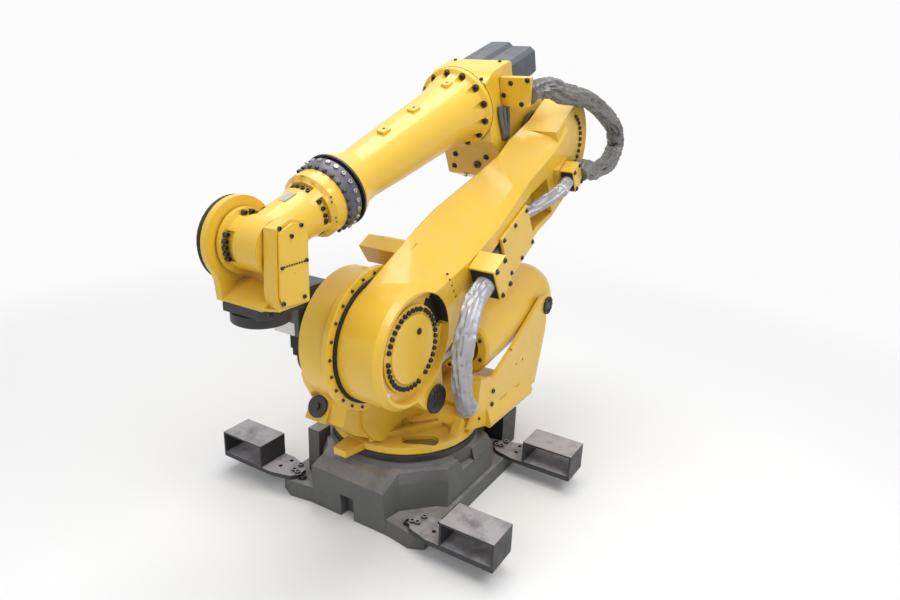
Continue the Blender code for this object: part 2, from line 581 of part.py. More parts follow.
bridge = prism("fork_bridge", HAND, ridge, -0.078, 0.08)
toe_plan = [(-0.073, 0.075), (0.073, 0.066), (0.048, 0.112), (-0.055, 0.112)]
toe = prism("fork_toe", HAND_PLAN, toe_plan, -HAND_BOTTOM, -0.1385)
right_boss = turned("right_boss", WRIST, Y, [(-0.06, 0.05), (KNUCKLE_RIGHT_Y - GAP, 0.05)], 32)
left_boss = turned("left_boss", WRIST, Y, [(KNUCKLE_LEFT_Y + GAP, 0.05), (0.08, 0.05)], 32)
shape(fork, [web, left_box, bridge, toe, right_boss, left_boss])
shape(turned("fork_seal_ring", WRIST, Y, [(-0.090, 0.108), (-0.0803, 0.108)], 40), material=BLACK)
shape(turned("fork_end_cap", WRIST, Y, [(-0.115, 0.094), (-0.0903, 0.098)], 32))
cover = [(0.045, 0.052), (0.0, 0.070), (-0.038, 0.060), (-0.052, 0.03)]
cover += [(-0.052, -0.14), (0.036, -0.135), (0.050, -0.105)]
shape(prism("fork_cover_plate", HAND, cover, 0.1133, 0.120))
base_plan = [(-0.075, -0.058), (0.075, -0.058), (0.075, 0.070)]
base_plan += [(0.060, 0.088), (-0.060, 0.088), (-0.075, 0.070)]
flange_base = prism("flange_base", HAND_PLAN, base_plan, -HAND_BOTTOM - 0.0245, -HAND_BOTTOM - GAP)
shape(flange_base, material=BLACK)
flange_profile = [(-HAND_BOTTOM - 0.0248, 0.045), (-HAND_BOTTOM - 0.027, 0.045)]
flange_profile += [(-HAND_BOTTOM - 0.027, 0.079)]
flange_profile += [(0.005 - FLANGE_DROP, 0.079), (-FLANGE_DROP, 0.072)]
shape(turned("tool_flange", WRIST, Z, flange_profile, 40), material=BLACK)

# Hoses: a silver sleeve from the turret to the arm, along the arm, and over the elbow.
lower_marks = [(0.085, 0.300, 0.405), (0.135, 0.315, 0.46), (0.172, 0.325, 0.55), (0.172, 0.325, 0.65)]
lower_marks += [(0.130, 0.318, 0.74), on_arm(0.262, -0.03, 0.300), on_arm(0.3297, -0.03, 0.300)]
shape(hose("lower_hose", lower_marks, HOSE_R), material=SLEEVE)
arm_marks = [on_arm(0.4153, -0.04, 0.290), on_arm(0.430, -0.04, 0.290), on_arm(0.455, -0.055, 0.275)]
arm_marks += [on_arm(0.49, -0.080, 0.238)]
arm_marks += [on_arm(0.54, -0.09, 0.2215), on_arm(0.69, -0.098, 0.2215), on_arm(0.745, -0.094, 0.2235)]
arm_marks += [on_arm(0.80, -0.088, 0.258), on_arm(0.85, -0.078, 0.298)]
arm_marks += [on_arm(0.89, -0.070, 0.321), on_arm(0.915, -0.070, 0.322), on_arm(0.9397, -0.070, 0.322)]
shape(hose("arm_hose", arm_marks, 0.024), material=SLEEVE)
loop_middle = on_arm(1.376, -0.151, 0.340)
first_marks = [on_arm(1.0056, -0.082, 0.337), on_arm(1.045, -0.082, 0.337), on_arm(1.115, -0.142, 0.338)]
first_marks += [on_arm(1.186, -0.186, 0.338), on_arm(1.275, -0.210, 0.340), on_arm(1.350, -0.207, 0.340)]
first_marks += [on_arm(1.376, -0.185, 0.340), loop_middle]
shape(hose("elbow_hose_lower", first_marks, HOSE_R), material=SLEEVE)
second_marks = [loop_middle + 0.0010 * ARM_UP, on_arm(1.376, -0.115, 0.340), on_arm(1.325, -0.035, 0.335)]
second_marks += [on_arm(1.214, 0.097, 0.320), on_arm(1.145, 0.155, 0.305), on_arm(1.08, 0.202, 0.280)]
second_marks += [place(FORE, 0.065, 0.002, 0.250), place(FORE, 0.120, 0.014, 0.215)]
second_marks += [place(FORE, 0.1797, 0.014, 0.215)]
shape(hose("elbow_hose_upper", second_marks, HOSE_R), material=SLEEVE)
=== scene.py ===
"""Looks for the industrial robot arm: camera, light, paint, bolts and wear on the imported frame.

Metres, +Z up, +X to the robot's front and +Y to its left.
"""

import json
import math

import bmesh
import bpy
from mathutils import Matrix, Vector, noise
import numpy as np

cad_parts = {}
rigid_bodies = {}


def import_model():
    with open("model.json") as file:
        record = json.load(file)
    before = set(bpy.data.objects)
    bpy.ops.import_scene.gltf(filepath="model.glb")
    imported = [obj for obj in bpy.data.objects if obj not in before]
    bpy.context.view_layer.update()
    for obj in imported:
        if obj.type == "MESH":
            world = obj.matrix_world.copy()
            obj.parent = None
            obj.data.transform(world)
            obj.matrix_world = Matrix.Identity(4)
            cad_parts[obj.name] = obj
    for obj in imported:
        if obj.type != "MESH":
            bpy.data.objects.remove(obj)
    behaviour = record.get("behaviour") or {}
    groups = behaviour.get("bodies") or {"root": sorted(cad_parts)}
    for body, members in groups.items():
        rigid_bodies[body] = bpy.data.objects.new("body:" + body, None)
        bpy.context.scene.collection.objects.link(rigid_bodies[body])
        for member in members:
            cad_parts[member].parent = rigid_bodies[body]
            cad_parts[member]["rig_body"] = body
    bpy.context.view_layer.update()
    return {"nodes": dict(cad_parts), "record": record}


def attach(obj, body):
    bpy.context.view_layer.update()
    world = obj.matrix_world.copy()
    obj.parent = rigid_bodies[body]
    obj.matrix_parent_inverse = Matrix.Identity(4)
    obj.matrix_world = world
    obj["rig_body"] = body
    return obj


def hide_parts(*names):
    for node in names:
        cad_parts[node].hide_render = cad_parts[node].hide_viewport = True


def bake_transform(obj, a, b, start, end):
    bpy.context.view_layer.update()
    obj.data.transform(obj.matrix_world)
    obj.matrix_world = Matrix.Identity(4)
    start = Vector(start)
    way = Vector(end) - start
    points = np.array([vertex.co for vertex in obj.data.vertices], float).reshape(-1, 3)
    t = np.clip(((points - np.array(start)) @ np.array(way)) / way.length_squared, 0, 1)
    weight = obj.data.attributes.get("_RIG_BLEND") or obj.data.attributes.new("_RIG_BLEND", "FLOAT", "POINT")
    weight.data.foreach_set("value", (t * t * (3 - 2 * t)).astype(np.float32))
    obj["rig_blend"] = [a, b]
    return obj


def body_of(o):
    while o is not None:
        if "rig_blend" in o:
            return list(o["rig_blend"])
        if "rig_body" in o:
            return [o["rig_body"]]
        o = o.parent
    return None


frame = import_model()
scene = bpy.context.scene

# Camera: placed by a fit to the photograph.
CAMERA_AT = Vector((1.8478, 1.2779, 1.4536))
YAW, PITCH, ROLL = -2.6008, 0.3272, 0.0390
LENS = 27.76


def make_camera():
    """A camera at the photograph's viewing angle."""
    forward = Vector((math.cos(YAW) * math.cos(PITCH), math.sin(YAW) * math.cos(PITCH), -math.sin(PITCH)))
    right = forward.cross(Vector((0, 0, 1))).normalized()
    up = right.cross(forward)
    side = math.cos(ROLL) * right + math.sin(ROLL) * up
    top = -math.sin(ROLL) * right + math.cos(ROLL) * up
    data = bpy.data.cameras.new("camera")
    data.lens = LENS
    data.sensor_width = 36.0
    data.clip_start = 0.01
    made = bpy.data.objects.new("camera", data)
    made.matrix_world = Matrix.Translation(CAMERA_AT) @ Matrix((side, top, -forward)).transposed().to_4x4()
    scene.collection.objects.link(made)
    scene.camera = made


make_camera()
scene.view_settings.view_transform = "Standard"


class Nodes:
    """Short calls for building the node tree of a material or a world."""

    def __init__(self, owner):
        owner.use_nodes = True
        self.owner = owner
        self.tree = owner.node_tree
        self.shader = self.tree.nodes.get("Principled BSDF")

    def add(self, kind, inputs=None, **settings):
        """A new node with its settings, and its inputs linked or set."""
        node = self.tree.nodes.new(kind)
        for key, value in settings.items():
            setattr(node, key, value)
        for key, value in (inputs or {}).items():
            self.set(node.inputs[key], value)
        return node

    def set(self, socket, value):
        """Link another socket to this one, or give it a constant."""
        if isinstance(value, bpy.types.NodeSocket):
            self.tree.links.new(value, socket)
        else:
            socket.default_value = value

    def place(self):
        """The shaded point in the world."""
        return self.add("ShaderNodeNewGeometry").outputs["Position"]

    def noise(self, scale, detail=4.0, rough=0.55):
        """Noise in the world, from 0 to 1."""
        inputs = {"Vector": self.place(), "Scale": scale, "Detail": detail, "Roughness": rough}
        return self.add("ShaderNodeTexNoise", inputs).outputs["Fac"]

    def ramp(self, value, low, high, to_low=0.0, to_high=1.0):
        """A value spread from one range to another, held at the ends."""
        inputs = {"Value": value, "From Min": low, "From Max": high, "To Min": to_low, "To Max": to_high}
        return self.add("ShaderNodeMapRange", inputs).outputs[0]

    def math(self, operation, a, b=0.0):
        """Arithmetic on two values."""
        return self.add("ShaderNodeMath", {0: a, 1: b}, operation=operation).outputs[0]

    def mix(self, share, a, b):
        """A colour between two, by the share of the second."""
        node = self.add("ShaderNodeMix", data_type="RGBA")
        self.set(node.inputs[0], share)
        self.set(node.inputs[6], a)
        self.set(node.inputs[7], b)
        return node.outputs[2]

    def facing_up(self, low=0.35, high=0.95):
        """One on faces that look up and zero on walls."""
        normal = self.add("ShaderNodeNewGeometry").outputs["True Normal"]
        split = self.add("ShaderNodeSeparateXYZ", {0: normal})
        return self.ramp(split.outputs["Z"], low, high)

    def crevice(self, reach):
        """High in corners and crevices within a distance."""
        shade = self.add("ShaderNodeAmbientOcclusion", {"Distance": reach}, samples=8)
        return self.math("SUBTRACT", 1.0, shade.outputs["AO"])

    def bump(self, height, strength, distance, edge=0.0):
        """Relief, with edges rounded where a radius is given."""
        inputs = {"Height": height, "Strength": strength, "Distance": distance}
        if edge:
            inputs["Normal"] = self.add("ShaderNodeBevel", {"Radius": edge}, samples=4).outputs[0]
        return self.add("ShaderNodeBump", inputs).outputs[0]


def rgb(red, green, blue):
    """A colour with full opacity, as the sockets take it."""
    return (red, green, blue, 1.0)


def grey(level):
    """A neutral colour, for painted()."""
    return (level, level, level)


def inputs_of(material):
    """The sockets of a material's main shader."""
    return material.node_tree.nodes["Principled BSDF"].inputs


def painted(name, colour, dark, upward_colour, upward_share, rough, edge=0.004, grain=0.12, patch=(0.35, 0.75)):
    """Paint with colour drift, painted shade and dirt in the corners and crevices, a paler colour on upward
    faces and small scuffs.

    The edge is the radius of the shaded edges in metres, and patch says how patchy the paler colour on upward
    faces is.
    """
    n = Nodes(bpy.data.materials.new(name))
    drift = n.ramp(n.noise(3.0, 3.0), 0.35, 0.7)
    base = n.mix(n.math("MULTIPLY", drift, 0.5), rgb(*colour), rgb(*[c * 0.86 for c in colour]))
    # Painted shade: corners and crevices found by occlusion are darkened in patches toward the dark colour, a
    # brownish dirt tone.
    corner = n.math("MULTIPLY", n.ramp(n.crevice(0.05), 0.25, 0.85), n.ramp(n.noise(24.0, 5.0), 0.3, 0.7))
    base = n.mix(n.math("MULTIPLY", corner, 0.55), base, rgb(*dark))
    # Upward faces take a paler colour in patches; the same share roughens them.
    patchy = n.math("MULTIPLY", n.facing_up(), n.ramp(n.noise(14.0, 6.0, 0.65), *patch))
    patchy = n.math("MULTIPLY", patchy, upward_share)
    base = n.mix(patchy, base, rgb(*upward_colour))
    specks = n.ramp(n.noise(95.0, 3.0, 0.6), 0.70, 0.74)
    base = n.mix(n.math("MULTIPLY", specks, 0.35), base, rgb(*dark))
    n.set(n.shader.inputs["Base Color"], base)
    uneven = n.ramp(n.noise(30.0, 4.0), 0.3, 0.7, rough - 0.05, rough + 0.12)
    n.set(n.shader.inputs["Roughness"], n.math("ADD", uneven, n.math("MULTIPLY", patchy, 0.35)))
    n.set(n.shader.inputs["Normal"], n.bump(n.noise(260.0, 3.0), grain, 0.0006, edge))
    return n.owner


# The dark colour of the yellow paint: painted shade and dirt in its corners, and its specks.
SHADE_AND_SPECKS_ON_YELLOW = (0.20, 0.13, 0.04)
DUST_ON_YELLOW = (0.62, 0.52, 0.32)
YELLOW = painted("looks_yellow_paint", (0.84, 0.52, 0.035), SHADE_AND_SPECKS_ON_YELLOW, DUST_ON_YELLOW, 0.25, 0.34)
# On the cast and the pocket steel, upward faces are made much paler than their walls, nearly all over.
CAST = painted(
    "looks_grey_cast", (0.115, 0.115, 0.112), grey(0.03), (0.36, 0.34, 0.33),
    0.8, 0.6, 0.004, 0.35, (0.2, 0.6),
)
BLACK = painted(
    "looks_black_steel", (0.018, 0.018, 0.02), grey(0.006), (0.12, 0.115, 0.105),
    0.35, 0.42, 0.002,
)
# Upward faces much paler than the walls, as on the cast.
POCKET = painted(
    "looks_pocket_steel", (0.032, 0.032, 0.036), grey(0.010), (0.40, 0.38, 0.40),
    1.0, 0.5, 0.002, 0.3, (0.15, 0.55),
)
MOTOR = painted("looks_motor_black", (0.05, 0.062, 0.08), (0.012, 0.013, 0.016), grey(0.22), 0.5, 0.42, 0.003)
SLEEVE = painted(
    "looks_hose_sleeve", (0.42, 0.42, 0.44), (0.17, 0.17, 0.175), (0.45, 0.44, 0.43), 0.2, 0.38, 0.0, 0.2
)
ELBOW_SLEEVE = painted(
    "looks_elbow_sleeve", (0.19, 0.185, 0.175), grey(0.05), (0.34, 0.32, 0.29), 0.3, 0.42, 0.0, 0.2
)
STEEL = painted("looks_bare_steel", (0.40, 0.41, 0.42), grey(0.10), (0.30, 0.29, 0.27), 0.2, 0.3, 0.001)
inputs_of(SLEEVE)["Metallic"].default_value = 0.35
inputs_of(ELBOW_SLEEVE)["Metallic"].default_value = 0.35
inputs_of(STEEL)["Metallic"].default_value = 1.0
inputs_of(YELLOW)["Coat Weight"].default_value = 0.35
inputs_of(YELLOW)["Coat Roughness"].default_value = 0.12
BY_SLOT = {"yellow_paint": YELLOW, "grey_cast": CAST, "black_steel": BLACK, "pocket_steel": POCKET}
BY_SLOT.update({"motor_black": MOTOR, "hose_sleeve": SLEEVE, "bare_steel": STEEL})

RUBBER = painted("looks_rubber", (0.012, 0.012, 0.013), grey(0.004), grey(0.09), 0.4, 0.7, 0.0)
SCREW = painted("looks_dark_screw", (0.022, 0.022, 0.025), grey(0.006), grey(0.10), 0.3, 0.36, 0.0)
PLATE = painted(
    "looks_bare_plate", (0.42, 0.42, 0.41), (0.16, 0.15, 0.13), (0.46, 0.44, 0.40),
    0.2, 0.4, 0.0, 0.05,
)
WHITE = painted(
    "looks_white_plate", (0.72, 0.72, 0.71), (0.35, 0.34, 0.32), (0.6, 0.59, 0.56),
    0.2, 0.4, 0.0, 0.05,
)
RED = painted("looks_red_cap", (0.36, 0.06, 0.05), (0.10, 0.02, 0.02), (0.3, 0.2, 0.18), 0.2, 0.4, 0.0, 0.08)
RING = painted("looks_ring_steel", (0.085, 0.085, 0.10), grey(0.02), (0.28, 0.28, 0.30), 0.6, 0.36, 0.001)
# A dark yellow for the floor of the turntable's hollow: painted shade.
SHADED = painted(
    "looks_shaded_yellow", (0.20, 0.13, 0.02), (0.06, 0.04, 0.01), (0.30, 0.22, 0.10),
    0.2, 0.6, 0.0,
)
CABLE = painted("looks_grey_cable", (0.13, 0.13, 0.135), grey(0.04), (0.25, 0.25, 0.24), 0.3, 0.5, 0.0, 0.05)

BODY_OF = {name: body_of(node) for name, node in frame["nodes"].items()}
SLOT_OF = {part["node"]: part["material_slot"] for part in frame["record"]["subparts"]}

# Directions and centres of the machine at rest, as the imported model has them.
X = Vector((1, 0, 0))
Y = Vector((0, 1, 0))
Z = Vector((0, 0, 1))
LEAN = math.radians(-61.0)
DIP = math.radians(-17.8)
ARM_DIR = Vector((math.sin(LEAN), 0, math.cos(LEAN)))
ARM_UP = Vector((math.cos(LEAN), 0, -math.sin(LEAN)))
FORE_DIR = Vector((math.cos(DIP), 0, math.sin(DIP)))
FORE_UP = Vector((-math.sin(DIP), 0, math.cos(DIP)))
SHOULDER = Vector((0.312, 0, 0.670))
ELBOW = SHOULDER + 1.075 * ARM_DIR
ROLL_BASE = ELBOW + 0.225 * FORE_UP
WRIST = ROLL_BASE + 1.280 * FORE_DIR


def on_arm(along, up, side):
    """A place along the upper arm, above its middle line and to the left."""
    return SHOULDER + along * ARM_DIR + up * ARM_UP + side * Y


def on_fore(along, side, up):
    """A place along the forearm, to the left and above its axis."""
    return ROLL_BASE + along * FORE_DIR + side * Y + up * FORE_UP


def round_tube(along, degrees, radius):
    """A point beside the forearm's axis, counted from its top toward the left side."""
    angle = math.radians(degrees)
    return on_fore(along, radius * math.sin(angle), radius * math.cos(angle))


def spoke(degrees):
    """The direction out from the forearm's axis, counted as for round_tube."""
    return round_tube(0, degrees, 1) - ROLL_BASE


def turned_way(degrees):
    """A direction square to Y; the angle runs from X toward Z."""
    angle = math.radians(degrees)
    return math.cos(angle) * X + math.sin(angle) * Z


def around(centre, degrees, radius, side):
    """A point on a circle about an axis along Y."""
    return centre + radius * turned_way(degrees) + side * Y


def new_piece(name, work, material, body=None):
    """Makes an object of a mesh in work; rides it on a body if one is given."""
    bmesh.ops.recalc_face_normals(work, faces=work.faces)
    mesh = bpy.data.meshes.new(name)
    work.to_mesh(mesh)
    work.free()
    for face in mesh.polygons:
        face.use_smooth = True
    mesh.set_sharp_from_angle(angle=math.radians(35))
    piece = bpy.data.objects.new(name, mesh)
    scene.collection.objects.link(piece)
    mesh.materials.append(material)
    if body:
        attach(piece, body)
    return piece


def basis(axis):
    """Two directions square to the axis."""
    axis = axis.normalized()
    across = Z if abs(axis.z) < 0.9 else X
    one = axis.cross(across).normalized()
    return one, axis.cross(one)


def add_turned(work, at, axis, profile, steps=24, hexagon=(), turn=0.0):
    """Adds a solid of revolution from (radius, height) pairs; rings listed in hexagon get six sides."""
    one, two = basis(axis)
    axis = axis.normalized()
    rings = []
    for number, (radius, height) in enumerate(profile):
        if radius < 1e-6:
            rings.append([work.verts.new(at + height * axis)])
            continue
        ring = []
        for i in range(steps):
            angle = turn + 2 * math.pi * i / steps
            reach = radius
            if number in hexagon:
                off = (2 * math.pi * i / steps) % (math.pi / 3) - math.pi / 6
                reach = radius * math.cos(math.pi / 6) / math.cos(off)
            out = math.cos(angle) * one + math.sin(angle) * two
            ring.append(work.verts.new(at + height * axis + reach * out))
        rings.append(ring)
    for low, high in zip(rings, rings[1:]):
        for i in range(steps):
            j = (i + 1) % steps
            if len(low) == 1:
                work.faces.new([low[0], high[j], high[i]])
            elif len(high) == 1:
                work.faces.new([low[i], low[j], high[0]])
            else:
                work.faces.new([low[i], low[j], high[j], high[i]])
    if len(rings[0]) > 1:
        work.faces.new(rings[0])
    if len(rings[-1]) > 1:
        work.faces.new(list(reversed(rings[-1])))


def add_socket_bolt(work, at, axis, radius, height, turn=0.0, washer=0.0):
    """A cap screw with a hexagonal socket, and a washer under it if a radius is given."""
    if washer:
        add_turned(work, at, axis, [(washer, -0.001), (washer, 0.0012), (radius, 0.0016)], 24)
    key = 0.62 * radius
    profile = [(radius, -0.001), (radius, height * 0.84), (radius * 0.92, height), (key, height)]
    profile += [(key, height), (key * 0.98, height * 0.35), (0.0, height * 0.30)]
    add_turned(work, at, axis, profile, 24, (3, 4, 5), turn)


def add_hex_bolt(work, at, axis, radius, height, turn=0.0, washer=0.0):
    """A screw with a six-sided head."""
    if washer:
        add_turned(work, at, axis, [(washer, -0.001), (washer, 0.0014), (radius * 0.9, 0.0018)], 24)
    profile = [(radius, 0.0), (radius, height * 0.85), (radius * 0.90, height), (0.0, height)]
    add_turned(work, at, axis, profile, 24, (0, 1), turn)


def add_plug(work, at, axis, radius, height):
    """A low round plug with a dimple."""
    profile = [(radius, -0.001), (radius, height * 0.7), (radius * 0.93, height), (radius * 0.35, height)]
    profile += [(radius * 0.30, height * 0.4), (0.0, height * 0.4)]
    add_turned(work, at, axis, profile, 24)


def add_block(work, frame_axes, low, high, chamfer=0.0):
    """A block in a frame of origin and three directions, with chamfered upright edges."""
    c = chamfer
    plan = [(low[0] + c, low[1]), (high[0] - c, low[1]), (high[0], low[1] + c), (high[0], high[1] - c)]
    plan += [(high[0] - c, high[1]), (low[0] + c, high[1]), (low[0], high[1] - c), (low[0], low[1] + c)]
    add_prism(work, frame_axes, plan, low[2], high[2])


def add_prism(work, frame_axes, outline, low, high):
    """A prism on a plan outline, in a frame of origin and three directions."""
    origin, one, two, three = frame_axes
    base = [work.verts.new(origin + a * one + b * two + low * three) for a, b in outline]
    lid = [work.verts.new(origin + a * one + b * two + high * three) for a, b in outline]
    work.faces.new(base)
    work.faces.new(list(reversed(lid)))
    for i in range(len(outline)):
        j = (i + 1) % len(outline)
        work.faces.new([base[i], lid[i], lid[j], base[j]])


def group(name, material, body, adder, items):
    """One joined piece of many like ones; each item holds the adder's arguments."""
    work = bmesh.new()
    for item in items:
        adder(work, *item)
    return new_piece(name, work, material, body)


def stadium(length, width, steps=8):
    """A slot's outline, centred, with round ends."""
    half = length / 2 - width / 2
    outline = []
    for i in range(steps + 1):
        angle = -math.pi / 2 + math.pi * i / steps
        outline.append((half + width / 2 * math.cos(angle), width / 2 * math.sin(angle)))
    for i in range(steps + 1):
        angle = math.pi / 2 + math.pi * i / steps
        outline.append((-half + width / 2 * math.cos(angle), width / 2 * math.sin(angle)))
    return outline


def cutter(add, *arguments):
    """A tool for carve, made by one of the adders."""
    work = bmesh.new()
    add(work, *arguments)
    return new_piece("cutter", work, SCREW)


def arc_cutter(along_low, along_high, first, last, inner, outer, width=10):
    """A sector of a ring about the forearm's axis."""
    work = bmesh.new()
    rows = []
    for i in range(width + 1):
        degrees = first + (last - first) * i / width
        corners = [(along_low, inner), (along_low, outer), (along_high, outer), (along_high, inner)]
        rows.append([work.verts.new(round_tube(along, degrees, radius)) for along, radius in corners])
    for low, high in zip(rows, rows[1:]):
        for i in range(4):
            j = (i + 1) % 4
            work.faces.new([low[i], low[j], high[j], high[i]])
    work.faces.new(rows[0])
    work.faces.new(list(reversed(rows[-1])))
    return new_piece("cutter", work, SCREW)


def side_sector(first, last, inner, outer, low, high, centre, steps=12):
    """A sector of a ring about an axis along Y; angles run from X toward Z."""
    outline = []
    for i in range(steps + 1):
        angle = math.radians(first + (last - first) * i / steps)
        outline.append((outer * math.cos(angle), outer * math.sin(angle)))
    for i in range(steps + 1):
        angle = math.radians(last - (last - first) * i / steps)
        outline.append((inner * math.cos(angle), inner * math.sin(angle)))
    return (centre, X, Z, Y), outline, low, high


def add_ring(work, at, axis, profile, steps=48):
    """A ring of revolution from a closed loop of (radius, height) pairs."""
    one, two = basis(axis)
    axis = axis.normalized()
    rings = []
    for radius, height in profile:
        ring = []
        for i in range(steps):
            angle = 2 * math.pi * i / steps
            out = math.cos(angle) * one + math.sin(angle) * two
            ring.append(work.verts.new(at + height * axis + radius * out))
        rings.append(ring)
    for row in range(len(rings)):
        low, high = rings[row], rings[(row + 1) % len(rings)]
        for i in range(steps):
            j = (i + 1) % steps
            work.faces.new([low[i], low[j], high[j], high[i]])


def refine(thing, width, steps=2):
    """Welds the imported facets, rounds the edges and evens the shading."""
    for face in thing.data.polygons:
        face.use_smooth = True
    weld = thing.modifiers.new("weld", "WELD")
    weld.merge_threshold = 2e-5
    flat = thing.modifiers.new("flat", "DECIMATE")
    flat.decimate_type = "DISSOLVE"
    flat.angle_limit = math.radians(0.4)
    if width:
        edge = thing.modifiers.new("edge", "BEVEL")
        edge.width = width
        edge.segments = steps
        edge.limit_method = "ANGLE"
        edge.angle_limit = math.radians(32)
        edge.harden_normals = True
    even = thing.modifiers.new("even", "WEIGHTED_NORMAL")
    even.keep_sharp = False
    even.weight = 80


def carve(name, cutters, width):
    """Stands for a node with small pockets cut into it."""
    node = frame["nodes"][name]
    mesh = node.data.copy()
    work = bmesh.new()
    work.from_mesh(mesh)
    bmesh.ops.remove_doubles(work, verts=work.verts, dist=2e-5)
    work.to_mesh(mesh)
    work.free()
    piece = bpy.data.objects.new("detailed_" + name, mesh)
    scene.collection.objects.link(piece)
    for tool in cutters:
        cut = piece.modifiers.new("cut", "BOOLEAN")
        cut.operation = "DIFFERENCE"
        cut.solver = "EXACT"
        cut.object = tool
    bpy.context.view_layer.update()
    done = bpy.data.meshes.new_from_object(piece.evaluated_get(bpy.context.evaluated_depsgraph_get()))
    piece.modifiers.clear()
    piece.data = done
    for tool in cutters:
        bpy.data.objects.remove(tool)
    done.materials.clear()
    done.materials.append(BY_SLOT[SLOT_OF[name]])
    refine(piece, width)
    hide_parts(name)
    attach(piece, BODY_OF[name][0])
    return piece


for name, slot_name in SLOT_OF.items():
    node = frame["nodes"][name]
    node.data.materials.clear()
    node.data.materials.append(RING if name == "roll_gear_ring" else BY_SLOT[slot_name])


# Nodes by the width of their rounded edges, in metres; the other solids get PLAIN_EDGE.
PLAIN_EDGE = 0.002
EDGES = {
    0.005: ("upper_arm_casting", "forearm_casing"),
    0.004: ("base_casting", "turret_casting"),
    0.003: (
        "wrist_fork", "forearm_tube", "balancer_barrel", "hose_clamp_lower", "hose_clamp_upper",
        "shoulder_motor", "roll_motor", "bend_motor", "turn_motor", "elbow_motor", "flange_motor",
    ),
    0.0015: (
        "trunnion_cap_outer", "balancer_bracket", "fork_pocket_front_left", "fork_pocket_front_right",
        "fork_pocket_rear_left", "fork_pocket_rear_right",
    ),
    0.001: ("roll_bearing_ring", "fork_seal_ring", "turret_plug"),
}
EDGE_OF = {name: width for width, names in EDGES.items() for name in names}
HOSES = ("lower_hose", "arm_hose", "elbow_hose_lower", "elbow_hose_upper")

# Places that several details share, in metres.
TUBE_FLANGE = 0.0217
TUBE_FRONT = 0.2903 + TUBE_FLANGE
TUBE_BOLTS = 13
RING_AT = 0.9763
RECESS_CENTRE = SHOULDER + 0.026 * ARM_DIR
TRUNNION_CAP = Vector((-0.565, 0.283, 0.571))
PIN_CAP = Vector((0.2149, 0.262, 0.487))
FORK_FACE = 0.120
BRACKET_FACE = 0.275
POCKET_CENTRES = ((0.353, "front"), (-0.217, "rear"))
OVAL = (Vector((0.152, 0.165, 0.273)), Vector((-0.60, 0.80, 0)), Vector((0.80, 0.60, 0)), Z)


def tube_bolt_place(number):
    """The bottom of a pocket around the tube's flange, where a bolt sits."""
    return round_tube(TUBE_FRONT - 0.001, -4.7 + number * 360 / TUBE_BOLTS, 0.1215)


def round_hole(at, axis, radius, steps):
    """A drill, 50 mm long, for carve()."""
    return cutter(add_turned, at, axis, [(radius, 0.0), (radius, 0.05)], steps)


def make_cutters():
    """Pockets, slots and holes, as a list of tools for each node."""
    castings = ("forearm_tube", "wrist_body", "turret_casting", "upper_arm_casting", "balancer_bracket")
    tools = {name: [] for name in castings}
    for i in range(TUBE_BOLTS):
        tools["forearm_tube"].append(round_hole(tube_bolt_place(i), FORE_DIR, 0.0125, 20))
    for first, last in ((-24, 32), (54, 112), (132, 180), (188, 226), (250, 306)):
        tools["wrist_body"].append(arc_cutter(1.088, 1.112, first, last, 0.0685, 0.12))
    for first, last in ((-33, 32), (74, 130), (-141, -104)):
        pocket = side_sector(first, last, 0.0665, 0.095, -0.0375, -0.012, WRIST)
        tools["wrist_body"].append(cutter(add_prism, *pocket))
    tools["turret_casting"].append(cutter(add_prism, OVAL, stadium(0.125, 0.048), -0.012, 0.02))
    slot = (Vector((0.118, 0.064, 0.284)), Vector((-0.795, 0.605, 0)), Vector((0.605, 0.795, 0)), Z)
    tools["turret_casting"].append(cutter(add_prism, slot, stadium(0.085, 0.020), -0.010, 0.02))
    tools["upper_arm_casting"].append(round_hole(RECESS_CENTRE + 0.226 * Y, Y, 0.152, 64))
    opening = side_sector(126, 171, 0.1345, 0.1775, 0.17, 0.24, SHOULDER)
    tools["upper_arm_casting"].append(cutter(add_prism, *opening))
    for x, z in ((-0.3713, 0.4078), (-0.3180, 0.4074), (-0.2701, 0.4775)):
        tools["balancer_bracket"].append(round_hole(Vector((x, 0.266, z)), Y, 0.0055, 16))
    for x in (-0.200, -0.215, -0.230, -0.245, -0.335, -0.350):
        place = (Vector((x, 0.266, 0.3105)), X, Z, Y)
        tools["balancer_bracket"].append(cutter(add_prism, place, stadium(0.010, 0.0055), 0.0, 0.05))
    for side, label in ((1, "left"), (-1, "right")):
        for x, end in POCKET_CENTRES:
            spots = [(x - 0.048, side * 0.326), (x - 0.095, side * 0.318)]
            holes = [round_hole(Vector((a, b, 0.05)), Z, 0.007, 20) for a, b in spots]
            tools["fork_pocket_" + end + "_" + label] = holes
    return tools


CARVED = make_cutters()
for name in SLOT_OF:
    edge = EDGE_OF.get(name, PLAIN_EDGE)
    if name in CARVED:
        carve(name, CARVED[name], edge)
    elif name not in HOSES:
        refine(frame["nodes"][name], edge)


